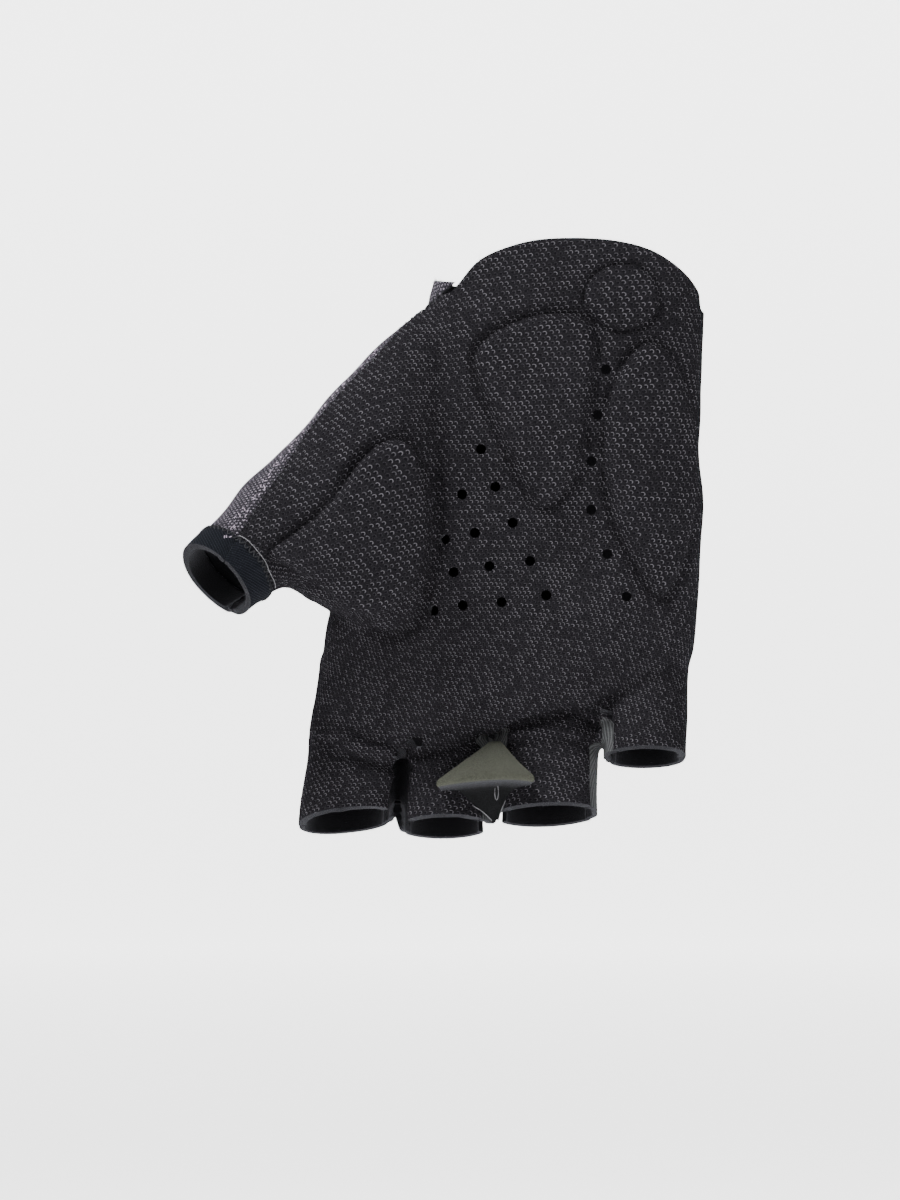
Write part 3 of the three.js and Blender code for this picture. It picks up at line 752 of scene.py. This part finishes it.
def palm_knit(colours, sizes):
    material, n, shader, flat, space = cloth_material("Palm knit", 0.88, 0.0)
    knit = n.group("Loop knit", Vector=flat, Pitch=sizes.loop_pitch)
    fuzz = n.group("Fuzz", Vector=space)
    ground = n.mix(fuzz["Broad"], tuple(c * 0.85 for c in colours.palm), tuple(c * 1.15 for c in colours.palm))
    grain = n.mix(n.math("MULTIPLY", fuzz["Fine"], 0.4), ground, tuple(c * 0.3 for c in colours.loop))
    # The knit's holes are darkened: painted shade in the openings between the loops.
    holed = n.mix(n.math("MULTIPLY", knit["Hole"], 0.7), grain, (0.003, 0.003, 0.004))
    n.feed(shader.inputs["Base Color"], n.mix(knit["Loop"], holed, colours.loop))
    height = n.math("ADD", knit["Shade"], n.math("MULTIPLY", fuzz["Fine"], 0.35))
    raise_bump(n, shader, n.math("SUBTRACT", height, n.math("MULTIPLY", knit["Hole"], 0.6)), 0.16 * MM)
    return material


def back_knit(colours):
    material, n, shader, flat, space = cloth_material("Back knit", 0.8, 0.02)
    rib = n.group("Rib", Vector=flat, Pitch=0.85 * MM, Slant=0.0)
    fuzz = n.group("Fuzz", Vector=space)
    # Light flecks on the ribs stand for the glints of the back's shiny yarn: painted glints.
    glint_fleck = n.math("MULTIPLY", n.math("MULTIPLY", rib["Rib"], rib["Stitch"]), n.ramp(fuzz["Fine"], 0.35, 0.9))
    ground = n.mix(fuzz["Broad"], tuple(c * 0.8 for c in colours.back), colours.back)
    n.feed(shader.inputs["Base Color"], n.mix(n.math("MULTIPLY", glint_fleck, 0.8), ground, (0.3, 0.27, 0.32)))
    raise_bump(n, shader, n.math("ADD", rib["Stitch"], n.math("MULTIPLY", rib["Rib"], 0.8)), 0.1 * MM)
    return material


def ribbed_cloth(name, colour, pitch, slant, shine):
    material, n, shader, flat, space = cloth_material(name, 0.72, shine)
    rib = n.group("Rib", Vector=flat, Pitch=pitch, Slant=slant)
    fuzz = n.group("Fuzz", Vector=space)
    ground = n.mix(rib["Rib"], tuple(c * 0.45 for c in colour), tuple(c * 1.5 for c in colour))
    n.feed(shader.inputs["Base Color"], n.mix(n.math("MULTIPLY", fuzz["Fine"], 0.3), ground, tuple(c * 3 for c in colour)))
    height = n.math("ADD", rib["Rib"], n.math("MULTIPLY", rib["Stitch"], 0.3))
    raise_bump(n, shader, height, 0.12 * MM)
    return material


def suede(colours):
    material, n, shader, _, space = cloth_material("Suede", 0.95, 0.03)
    fuzz = n.group("Fuzz", Vector=space)
    ground = n.mix(fuzz["Broad"], tuple(c * 0.8 for c in colours.tab), tuple(c * 1.2 for c in colours.tab))
    n.feed(shader.inputs["Base Color"], n.mix(n.math("MULTIPLY", fuzz["Fine"], 0.6), ground, tuple(c * 2.6 for c in colours.tab)))
    raise_bump(n, shader, fuzz["Fine"], 0.1 * MM)
    return material


def thread_material(name, colour):
    material, n, shader, _, space = cloth_material(name, 0.6, 0.1)
    fuzz = n.group("Fuzz", Vector=space)
    n.feed(shader.inputs["Base Color"], n.mix(fuzz["Fine"], tuple(c * 0.6 for c in colour), tuple(c * 1.6 for c in colour)))
    raise_bump(n, shader, fuzz["Fine"], 0.05 * MM)
    return material


def dress(piece, material, slot, *nodes):
    """Gives a finished piece its material, its body and the nodes that it stands for. Its slot is not used."""
    piece.data.materials[0] = material
    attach(piece, "root")
    if nodes:
        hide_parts(*nodes)


# The form under the cloth


def make_form(hand):
    """One smooth skin over the palm, the thumb and the four stalls, run on past every opening."""
    sizes = hand.sizes
    parts = [tube("palm_form", [hand.palm_ring(row) for row in refine(PALM_SECTIONS, 3)], 96)]
    thumb = [hand.thumb_ring(row) for row in refine(THUMB_SECTIONS, 4)]
    thumb.append({**thumb[-1], "centre": hand.mouth + hand.mouth_way * 9 * MM})
    parts.append(tube("thumb_form", thumb, 64))
    for name, finger in FINGERS.items():
        rings = [hand.finger_ring(finger, t) for t in np.linspace(0, 1.28, 17)]
        parts.append(tube(f"{name}_form", rings, 48))
    low_crotch = []
    for share in np.linspace(0.3, 0.9, 7):
        ring = hand.finger_ring(FINGERS["little"], share)
        ring["centre"][0] = hand.across(FINGERS["little"][0])
        ring["centre"][1] -= 0.3 * MM
        low_crotch.append({**ring, "half": (1.7 * MM, 5.2 * MM)})
    parts.append(tube("low_crotch_form", low_crotch, 32))
    pick(*parts)
    bpy.ops.object.join()
    form = bpy.context.object
    form.name = "glove_form"
    apply_modifier(form, "REMESH", mode="VOXEL", voxel_size=sizes.voxel, adaptivity=0)
    apply_modifier(form, "SMOOTH", factor=0.5, iterations=5)
    shape_form(hand, form)
    return form


def line_dent(points, line, half_width, depth):
    """A soft furrow along a line in the front view, with low banks and faded ends."""
    distance, _ = to_line(points, line)
    return depth * (0.35 * np.exp(-((distance / half_width - 2.2) ** 2)) - np.exp(-((distance / half_width) ** 2)))


def line_fold(points, line, height, reach):
    """Cloth that stands over a line on its left and tucks in under it on its right, with faded ends."""
    distance, side = to_line(points, line)
    ends = np.minimum(*(np.hypot(*(points - end).T) for end in (line[0], line[-1])))
    lip = 0.9 * MM
    over = height * smooth(-lip, lip, distance * side) * np.exp(-((np.maximum(distance * side, 0) / reach) ** 2))
    under = -0.75 * height * np.exp(-(((distance * side + lip) / (1.5 * MM)) ** 2))
    return (over + under) * smooth(0, 4 * MM, ends)


def inside_outline(points, outline):
    """Distance inwards from a closed outline, negative outside it."""
    distance, _ = to_line(points, np.vstack([outline, outline[:1]]))
    x, z = points.T
    inside = np.zeros(len(points), bool)
    for (x0, z0), (x1, z1) in zip(outline, np.roll(outline, -1, axis=0)):
        spans = (z0 > z) != (z1 > z)
        inside ^= spans & (x < x0 + (z - z0) * (x1 - x0) / (z1 - z0 + 1e-12))
    return np.where(inside, distance, -distance)


def closed_curve(outline, steps):
    """A smooth closed outline through a table's points."""
    wrapped = np.vstack([outline[-1:], outline, outline[:2]])
    return refine(wrapped, steps)[steps : -steps - 1]


def shape_form(hand, form):
    """Raises the pads, sinks the creases, seams and the ring of the patch, and lets the cloth sit a little unevenly."""
    sizes = hand.sizes
    points, normals = points_of(form), normals_of(form)
    flat = points[:, [0, 2]]
    front = smooth(0.15, -0.45, normals[:, 1])
    rise = np.zeros(len(points))
    from_vents = np.min([np.hypot(*(flat - vent).T) for vent in hand.place(VENTS)], axis=0)
    for across, down, wide, tall, high in MOUNDS:
        u = (flat[:, 0] - hand.across(across)) / hand.across(wide)
        v = (flat[:, 1] - hand.down(down)) / hand.down(tall)
        rise += high * MM * np.exp(-u * u - v * v)
    for name, table in PADS.items():
        depth = inside_outline(flat, closed_curve(hand.place(table), 5))
        groove = 0.8 * sizes.pad_rise * np.exp(-(((depth + 0.7 * MM) / (1.0 * MM)) ** 2))
        rise += sizes.pad_rise * smooth(-0.6 * MM, 2.2 * MM, depth) - groove * smooth(1.5 * MM, 5 * MM, from_vents)
    centre = hand.place([DISC])[0]
    from_disc = np.hypot(*((flat - centre) / (1.0, 0.88)).T) - sizes.disc_radius
    rise += 0.6 * MM * smooth(0, -1.5 * MM, from_disc) - 1.0 * MM * np.exp(-((from_disc / (0.8 * MM)) ** 2))
    for half_width, depth, table in CREASES:
        rise += line_dent(flat, refine(hand.place(table), 4), half_width * MM, depth * MM)
    for height, reach, table in FOLDS:
        rise += line_fold(flat, refine(hand.place(table), 4), height * MM, reach * MM)
    for across, down, radius, depth in PITS:
        away = np.hypot(*(flat - hand.place([(across, down)])[0]).T)
        rise -= depth * MM * np.exp(-((away / (radius * MM)) ** 2))
    rise -= 0.45 * MM * np.exp(-((from_vents / (2.2 * MM)) ** 2))
    rise *= front
    wave = sum(
        np.sin(flat[:, 0] * a / MM + flat[:, 1] * b / MM + points[:, 1] * c / MM + phase)
        for a, b, c, phase in [(0.31, 0.17, 0.2, 0.4), (-0.22, 0.37, 0.15, 1.9), (0.13, -0.29, 0.33, 3.1), (0.45, 0.21, -0.3, 5.2)]
    )
    rise += 0.07 * MM * wave
    ulnar = smooth(hand.across(0.1), hand.across(0.32), flat[:, 0])
    radial = smooth(hand.across(-0.4), hand.across(-0.62), flat[:, 0]) * smooth(hand.down(0.62), hand.down(0.8), flat[:, 1])
    rise += 0.6 * MM * (ulnar + radial)
    seam = hand.seam(points)
    rise -= 0.55 * MM * np.exp(-((seam / (0.8 * MM)) ** 2))
    names = list(FINGERS)
    for left, right in zip(names[:-1], names[1:]):
        wall = hand.side_wall(points, left, right)
        rise -= 0.45 * MM * np.exp(-((wall / (0.8 * MM)) ** 2))
    hem = hand.past_mouth(points)
    rise += 0.5 * MM * smooth(-sizes.hem_width - 0.4 * MM, -sizes.hem_width + 0.4 * MM, hem)
    move_points(form, points + normals * rise[:, None])


def keep(form, name, *fields):
    """A copy of the form, trimmed to where every field is negative."""
    piece = copy_of(form, name)
    for field in fields:
        trim(piece, field(points_of(piece)))
    return piece


def biggest_part(piece):
    """Drops crumbs that a trim cut off, and keeps the one sheet."""
    made = bmesh.new()
    made.from_mesh(piece.data)
    left, groups = set(made.verts), []
    while left:
        seed = left.pop()
        group, edge_of = {seed}, [seed]
        while edge_of:
            vert = edge_of.pop()
            for edge in vert.link_edges:
                other = edge.other_vert(vert)
                if other in left:
                    left.discard(other)
                    group.add(other)
                    edge_of.append(other)
        groups.append(group)
    keep_group = max(groups, key=len)
    bmesh.ops.delete(made, geom=[v for v in made.verts if v not in keep_group], context="VERTS")
    made.to_mesh(piece.data)
    made.free()


def clear_of_walls(hand):
    """Fields that keep a panel off the side walls between the stalls."""
    names = list(FINGERS)
    gap = hand.sizes.seam_gap
    return [
        lambda points, pair=pair: gap - hand.side_wall(points, *pair) for pair in zip(names[:-1], names[1:])
    ]


def panel_fields(hand, cloth):
    gap = hand.sizes.seam_gap
    side = 1 if cloth == "palm" else -1
    return [
        lambda points: side * hand.seam(points) + gap / 2,
        lambda points: hand.past_wrist(points, cloth),
        lambda points: hand.past_tips(points),
        lambda points: hand.past_mouth(points) + hand.sizes.hem_width,
        *clear_of_walls(hand),
    ]


def open_vents(hand, piece):
    """Cuts the round air holes, with the cloth's mesh made finer round them first."""
    made = bmesh.new()
    made.from_mesh(piece.data)
    centres = hand.place(VENTS)
    radius = hand.sizes.vent_radius
    for reach in (3.2, 2.4):
        near = []
        for edge in made.edges:
            middle = (edge.verts[0].co + edge.verts[1].co) / 2
            away = np.hypot(centres[:, 0] - middle.x, centres[:, 1] - middle.z).min()
            if away < radius * reach / 1.2 and edge.link_faces and edge.link_faces[0].normal.y < 0:
                near.append(edge)
        bmesh.ops.subdivide_edges(made, edges=near, cuts=1, use_grid_fill=True, smooth=0)
    made.to_mesh(piece.data)
    made.free()
    points = points_of(piece)
    flat = points[:, [0, 2]]
    away = np.min([np.hypot(*(flat - centre).T) for centre in centres], axis=0)
    trim(piece, np.where(points[:, 1] < 0, radius - away, -radius))


# Operators

# Rim lines of the sheets, which the threads and fibres follow
SEWN = {}


def sizes():
    return bpy.context.scene.glove_sizes


def colours():
    return bpy.context.scene.glove_colours


def form_of(hand):
    return bpy.data.objects.get("glove_form") or make_form(hand)


class GLOVE_OT_finishes(bpy.types.Operator):
    """Makes the node groups and the materials of the cloths and threads"""

    bl_idname = "glove.finishes"
    bl_label = "Cloth finishes"

    def execute(self, context):
        loop_knit_group()
        rib_group()
        fuzz_group()
        tints = colours()
        palm_knit(tints, sizes())
        back_knit(tints)
        # The rib's tint is raised to stand in for light that the narrow gap between the stalls does not get: partly
        # painted light.
        ribbed_cloth("Side rib", tints.side, 0.75 * MM, 0.0, 0.0)
        ribbed_cloth("Hem twill", tints.hem, 0.8 * MM, 0.9, 0.02)
        suede(tints)
        # Tab underside: a near-black tint, painted shade of the tab's underside below its fold.
        thread_material("Tab underside painted shade", tuple(0.15 * c for c in tints.side))
        # Inner face: the palm's tint darkened, painted shade inside the glove and on its cut rims.
        thread_material("Inner face painted shade", tuple(0.35 * c for c in tints.palm))
        thread_material("Dark thread", tints.thread)
        # This light tint serves the hem's light thread and the tab's painted edge highlights.
        thread_material("Light thread and painted highlight", (0.1, 0.1, 0.105))
        # Bright speck tint: painted glints of the back's shiny yarn.
        thread_material("Glint speck", (0.26, 0.22, 0.27))
        thread_material("Fibre", tuple(3 * c for c in tints.palm))
        return {"FINISHED"}


class GLOVE_OT_palm(bpy.types.Operator):
    """Makes the padded, perforated palm cloth"""

    bl_idname = "glove.palm"
    bl_label = "Palm"

    def execute(self, context):
        hand = Hand(sizes())
        piece = keep(form_of(hand), "palm_cloth", *panel_fields(hand, "palm"))
        biggest_part(piece)
        SEWN["palm_seam"] = rim_loops(piece, lambda points: np.abs(hand.seam(points)) < 0.4 * MM)
        SEWN["wrist"] = rim_loops(piece, lambda points: np.abs(hand.past_wrist(points, "palm")) < 0.2 * MM)
        SEWN["tips"] = rim_loops(piece, lambda points: np.abs(hand.past_tips(points)) < 0.2 * MM)
        flat = lay_flat(piece)
        open_vents(hand, piece)
        thicken(piece, hand.sizes.palm_wall)
        dress(piece, bpy.data.materials["Palm knit"], "palm", "palm_panel")
        return {"FINISHED"}


class GLOVE_OT_back(bpy.types.Operator):
    """Makes the back of the hand, which comes to the front beside the thumb"""

    bl_idname = "glove.back"
    bl_label = "Back"

    def execute(self, context):
        hand = Hand(sizes())
        piece = keep(form_of(hand), "back_cloth", *panel_fields(hand, "back"))
        biggest_part(piece)
        SEWN["wrist"] += rim_loops(piece, lambda points: np.abs(hand.past_wrist(points, "back")) < 0.2 * MM)
        SEWN["tips"] += rim_loops(piece, lambda points: np.abs(hand.past_tips(points)) < 0.2 * MM)
        flat = lay_flat(piece)
        thicken(piece, hand.sizes.back_wall)
        dress(piece, bpy.data.materials["Back knit"], "back", "back_panel")
        return {"FINISHED"}


class GLOVE_OT_side_walls(bpy.types.Operator):
    """Makes the ribbed strips between the finger stalls"""

    bl_idname = "glove.side_walls"
    bl_label = "Side walls"

    def execute(self, context):
        hand = Hand(sizes())
        names = list(FINGERS)
        for left, right in zip(names[:-1], names[1:]):
            piece = keep(
                form_of(hand),
                f"side_wall_{left}_{right}_cloth",
                lambda points: hand.side_wall(points, left, right),
                hand.past_tips,
            )
            biggest_part(piece)
            flat = lay_flat(piece)
            thicken(piece, hand.sizes.back_wall)
            dress(piece, bpy.data.materials["Side rib"], "side", f"side_wall_{left}_{right}")
        return {"FINISHED"}


class GLOVE_OT_thumb_hem(bpy.types.Operator):
    """Makes the band round the thumb's opening, in its palm and back parts"""

    bl_idname = "glove.thumb_hem"
    bl_label = "Thumb hem"

    def execute(self, context):
        hand = Hand(sizes())
        gap = hand.sizes.seam_gap
        SEWN["mouth"] = []
        for side, cloth in ((1, "palm"), (-1, "back")):
            piece = keep(
                form_of(hand),
                f"thumb_hem_{cloth}_cloth",
                hand.past_mouth,
                lambda points: -hand.past_mouth(points) - hand.sizes.hem_width,
                lambda points: side * hand.seam(points) + gap / 2,
            )
            biggest_part(piece)
            inner = lambda points: np.abs(hand.past_mouth(points) + hand.sizes.hem_width) < 0.2 * MM
            SEWN[f"hem_{cloth}"] = rim_loops(piece, inner)
            SEWN["mouth"] += rim_loops(piece, lambda points: np.abs(hand.past_mouth(points)) < 0.2 * MM)
            flat = lay_flat(piece)
            thicken(piece, hand.sizes.palm_wall)
            dress(piece, bpy.data.materials["Hem twill"], "hem", f"thumb_hem_{cloth}")
        return {"FINISHED"}


# Pull tab: down, depth, left and right half widths, all in millimetres, from its root over the fold to its tip
TAB_SECTIONS = [
    (0, -11.0, 1.4, 1.2),
    (1.2, -13.6, 3.2, 2.4),
    (4.0, -18.2, 8.0, 5.0),
    (6.6, -21.6, 12.4, 8.0),
    (7.6, -22.6, 13.9, 9.1),
    (8.1, -22.0, 13.8, 9.0),
    (8.7, -19.0, 13.3, 8.6),
    (9.6, -16.8, 12.9, 7.9),
    (10.6, -15.9, 11.8, 5.8),
    (12.0, -15.5, 9.4, 3.3),
    (15.2, -15.2, 3.8, 1.6),
    (18.2, -15.0, 0.8, 0.7),
]
TAB_FOLD = 5


class GLOVE_OT_pull_tab(bpy.types.Operator):
    """Makes the folded suede tab in front of the middle and ring crotch"""

    bl_idname = "glove.pull_tab"
    bl_label = "Pull tab"

    def execute(self, context):
        hand = Hand(sizes())
        rows = refine(TAB_SECTIONS, 4)
        columns = 20
        deselect()
        bpy.ops.mesh.primitive_grid_add(x_subdivisions=columns, y_subdivisions=len(rows) - 1, size=1)
        piece = bpy.context.object
        piece.name = "pull_tab_cloth"
        top, middle = hand.down(0.987), hand.across(-0.2)
        share = np.linspace(-1, 1, columns + 1)
        made = []
        for down, depth, left, right in rows:
            x = middle + np.where(share < 0, share * left, share * right) * MM
            sag = 1.1 * MM * share**2 * (left + right) / 23
            made.append(np.column_stack([x, np.full(columns + 1, depth * MM) + sag, top - down * MM - 0.9 * sag + 0.05 * (x - middle)]))
        move_points(piece, np.concatenate(made))
        bpy.ops.object.mode_set(mode="EDIT")
        bpy.ops.mesh.select_all(action="SELECT")
        bpy.ops.mesh.flip_normals()
        bpy.ops.object.mode_set(mode="OBJECT")
        # Faces below the fold take the near-black material: painted shade under the tab's fold.
        line_with(piece, "Tab underside painted shade")
        below_fold = TAB_FOLD * 4 * columns
        for face in piece.data.polygons[below_fold:]:
            face.material_index = 1
        lower = np.concatenate(made[TAB_FOLD * 4 + 2 :]).reshape(-1, columns + 1, 3)
        SEWN["tab"] = [lower[:, 0], lower[:, -1]]
        apply_modifier(piece, "SOLIDIFY", thickness=1.0 * MM, offset=0)
        pick(piece)
        bpy.ops.object.shade_smooth_by_angle(angle=math.radians(50))
        dress(piece, bpy.data.materials["Suede"], "tab", "pull_tab")
        return {"FINISHED"}


class GLOVE_OT_threads(bpy.types.Operator):
    """Sews the seams, binds the hem, lays the light threads, and adds bright specks and light edge lines as painted
    glints and highlights
    """

    bl_idname = "glove.threads"
    bl_label = "Threads"

    def execute(self, context):
        hand = Hand(sizes())
        form = form_of(hand)
        rng = np.random.default_rng(5)
        stitches, glint_specks = [], []
        for line, normals in SEWN["palm_seam"]:
            points, normals = evenly(line, 2.1 * MM, normals)
            normals = unit(normals)
            way = unit(np.gradient(points, axis=0))
            side = np.cross(way, normals)
            side *= np.sign((hand.seam(points + side * 2 * MM) > hand.seam(points)) - 0.5)[:, None]
            beside = (points[:, 0] < hand.across(-0.45)) | (np.abs(normals[:, 1]) < 0.75)
            for k in np.flatnonzero(beside):
                start = points[k] - side[k] * 0.9 * MM + way[k] * 0.35 * MM
                end = points[k] + side[k] * 1.1 * MM - way[k] * 0.35 * MM
                lift = np.array([-0.05, 0.14, 0.2, 0.14, -0.05])[:, None] * MM
                stitches.append(start + (end - start) * np.linspace(0, 1, 5)[:, None] + normals[k] * lift)
            # Short bright strands on the back beside the thumb seam stand for the glints of its shiny yarn: painted
            # glints.
            on_thumb = (points[:, 0] < hand.across(-0.5)) & (points[:, 2] > hand.down(0.56)) & (normals[:, 1] < -0.2)
            for k in np.flatnonzero(on_thumb):
                for _ in range(3):
                    away = 2.2 + 0.9 * rng.standard_normal()
                    spot = points[k] + side[k] * away * MM + way[k] * rng.uniform(-1, 1) * MM
                    _, spot, normal, _ = form.closest_point_on_mesh(Vector(spot))
                    spot, normal = np.array(spot), np.array(normal)
                    if hand.seam(spot[None])[0] > 0.7 * MM:
                        run = unit(way[k] + 0.6 * rng.standard_normal(3)) * 0.32 * MM
                        glint_specks.append(spot + normal * 0.03 * MM + np.linspace(-1, 1, 3)[:, None] * run)
        piece = strands("seam_stitches", stitches, 0.17 * MM)
        dress(piece, bpy.data.materials["Dark thread"], "hem")
        piece = strands("bright_stitches", glint_specks, 0.13 * MM, 5)
        dress(piece, bpy.data.materials["Glint speck"], "back")
        for cloth in ("palm", "back"):
            for i, (line, normals) in enumerate(SEWN[f"hem_{cloth}"]):
                points, normals = evenly(line, 0.2 * MM, normals)
                run = np.arange(len(points)) * 0.2 / 1.5
                reach = 1.3 * np.abs(np.sin(math.pi * run)) - 0.2
                path = points + hand.mouth_way * reach[:, None] * MM + unit(normals) * (0.2 + 0.08 * reach[:, None]) * MM
                piece = strands(f"hem_overlock_{cloth}_{i}", [path], 0.17 * MM)
                dress(piece, bpy.data.materials["Dark thread"], "hem")
        line, normals = max(SEWN["hem_palm"], key=lambda found: len(found[0]))
        points, normals = evenly(line, 0.5 * MM, normals)
        front = np.flatnonzero(normals[:, 1] < -0.1)
        drift = np.sin(np.arange(len(points)) * 0.23)[:, None] * 0.25 * MM
        path = (points + unit(normals) * 0.5 * MM + hand.mouth_way * (drift - 0.3 * MM))[front]
        # Light lines along the tab's lower edges and a small loop on its inner fold: painted highlights on those edges
        # and that fold.
        edges = []
        for edge in SEWN["tab"]:
            points = evenly(edge, np.linalg.norm(np.diff(edge, axis=0), axis=1).sum() / 11.5)[0][:11]
            edges.append(points + np.array([0, -0.62, -0.1]) * MM)
        turn = np.linspace(0, 2 * math.pi, 11)
        centre = np.array([hand.across(-0.2) + 0.3 * MM, -16.9 * MM, hand.down(0.987) - 11.6 * MM])
        edges.append(centre + np.column_stack([0.45 * np.sin(turn), 0.1 * turn, 1.9 * np.cos(turn)]) * MM)
        piece = strands("tab_edge_threads", edges, 0.11 * MM)
        dress(piece, bpy.data.materials["Light thread and painted highlight"], "tab")
        piece = strands("hem_light_thread", [path], 0.1 * MM)
        dress(piece, bpy.data.materials["Light thread and painted highlight"], "hem")
        return {"FINISHED"}


class GLOVE_OT_fibres(bpy.types.Operator):
    """Lets short fibres stand out of the cut edges and lie on the cloth"""

    bl_idname = "glove.fibres"
    bl_label = "Loose fibres"

    def execute(self, context):
        hand = Hand(sizes())
        rng = np.random.default_rng(11)
        share = np.linspace(0, 1, 4)[:, None]
        paths = []
        for key, way in (("tips", (0, -0.2, -1)), ("wrist", (0, 0, 1)), ("mouth", hand.mouth_way)):
            for line, normals in SEWN[key]:
                points, normals = evenly(line, 0.28 * MM, normals)
                for point, normal in zip(points, unit(normals)):
                    reach = unit(np.array(way) + 0.7 * rng.standard_normal(3)) * rng.gamma(2.2, 0.24) * MM
                    bend = rng.standard_normal(3) * 0.12 * MM
                    root = point - normal * rng.uniform(0.1, 1.0) * MM
                    paths.append(root + reach * share + bend * share * share)
        for name in ("palm_cloth", "back_cloth"):
            piece = bpy.data.objects[name]
            points, normals = points_of(piece), normals_of(piece)
            for k in rng.choice(len(points), 1500, replace=False):
                lean = unit(0.7 * normals[k] + rng.standard_normal(3)) * rng.uniform(0.25, 0.7) * MM
                bend = rng.standard_normal(3) * 0.1 * MM
                paths.append(points[k] + lean * share + bend * share * share)
        piece = strands("loose_fibres", paths, 0.028 * MM, 3, 0.5)
        dress(piece, bpy.data.materials["Fibre"], "palm")
        return {"FINISHED"}


class GLOVE_OT_stage(bpy.types.Operator):
    """Makes the pale floor and backdrop, the soft lights and the camera"""

    bl_idname = "glove.stage"
    bl_label = "Stage"

    def execute(self, context):
        deselect()
        bpy.ops.mesh.primitive_grid_add(x_subdivisions=96, y_subdivisions=40, size=1)
        sweep = bpy.context.object
        sweep.name = "stage_sweep"
        turn, share = (points_of(sweep)[:, :2] + 0.5).T
        bend = np.clip((share - 0.4) / 0.4, 0, 1) * math.pi / 2
        reach = 2.7 * np.minimum(share / 0.4, 1) + 0.5 * np.sin(bend)
        height = -0.26 + 0.5 * (1 - np.cos(bend)) + np.clip(share - 0.8, 0, 1) * 3
        angle = turn * 2 * math.pi
        move_points(sweep, np.column_stack([reach * np.cos(angle), reach * np.sin(angle), height]))
        pick(sweep)
        bpy.ops.object.shade_smooth()
        paper = bpy.data.materials.new("Stage paper")
        paper.use_nodes = True
        shader = paper.node_tree.nodes["Principled BSDF"]
        shader.inputs["Base Color"].default_value = (0.9, 0.9, 0.9, 1)
        shader.inputs["Roughness"].default_value = 0.9
        shader.inputs["Emission Color"].default_value = (1, 1, 1, 1)
        shader.inputs["Emission Strength"].default_value = 2.5
        sweep.data.materials.append(paper)
        for name, place, power, size in [
            ("key", (-0.42, -0.24, 0.8), 3.6, 0.2),
            ("fill", (0.3, -1.3, 0.4), 0.06, 0.5),
            ("rim", (0.75, -0.1, 0.3), 0.2, 0.4),
            ("back", (-0.5, 0.7, 0.6), 0.6, 0.3),
        ]:
            bpy.ops.object.light_add(type="AREA", location=place)
            light = bpy.context.object
            light.name = f"stage_{name}"
            light.data.energy = power
            light.data.size = size
            light.data.spread = math.radians(70)
            aim = Vector((-0.03, 0, -0.06)) - Vector(place)
            light.rotation_mode = "QUATERNION"
            light.rotation_quaternion = aim.to_track_quat("-Z", "Y")
        world = bpy.data.worlds.new("Studio")
        bpy.context.scene.world = world
        world.use_nodes = True
        world.node_tree.nodes["Background"].inputs[0].default_value = (1, 1, 1, 1)
        world.node_tree.nodes["Background"].inputs[1].default_value = 0.05
        bpy.ops.object.camera_add(location=(-0.0288, -2.2, -0.0744), rotation=(math.pi / 2, 0, 0))
        camera = bpy.context.object
        camera.name = "stage_camera"
        camera.data.lens = 275
        camera.data.sensor_width = 36
        camera.data.clip_end = 50
        bpy.context.scene.camera = camera
        return {"FINISHED"}


class GLOVE_PT_panel(bpy.types.Panel):
    bl_label = "Cycling glove"
    bl_idname = "GLOVE_PT_panel"
    bl_space_type = "VIEW_3D"
    bl_region_type = "UI"
    bl_category = "Glove"

    def draw(self, context):
        for group in (context.scene.glove_sizes, context.scene.glove_colours):
            box = self.layout.box()
            for name in group.__annotations__:
                box.prop(group, name)
        for operator in OPERATORS:
            self.layout.operator(operator.bl_idname)


OPERATORS = [
    GLOVE_OT_finishes,
    GLOVE_OT_palm,
    GLOVE_OT_back,
    GLOVE_OT_side_walls,
    GLOVE_OT_thumb_hem,
    GLOVE_OT_pull_tab,
    GLOVE_OT_threads,
    GLOVE_OT_fibres,
    GLOVE_OT_stage,
]
CLASSES = [GloveSizes, GloveColours, *OPERATORS, GLOVE_PT_panel]


def register():
    for item in CLASSES:
        bpy.utils.register_class(item)
    bpy.types.Scene.glove_sizes = bpy.props.PointerProperty(type=GloveSizes)
    bpy.types.Scene.glove_colours = bpy.props.PointerProperty(type=GloveColours)


def unregister():
    del bpy.types.Scene.glove_colours
    del bpy.types.Scene.glove_sizes
    for item in reversed(CLASSES):
        bpy.utils.unregister_class(item)


def main():
    register()
    bpy.ops.glove.finishes()
    bpy.ops.glove.palm()
    bpy.ops.glove.back()
    bpy.ops.glove.side_walls()
    bpy.ops.glove.thumb_hem()
    bpy.ops.glove.pull_tab()
    bpy.ops.glove.threads()
    bpy.ops.glove.fibres()
    bpy.ops.glove.stage()
    bpy.data.objects.remove(bpy.data.objects["glove_form"])


if __name__ == "__main__":
    main()
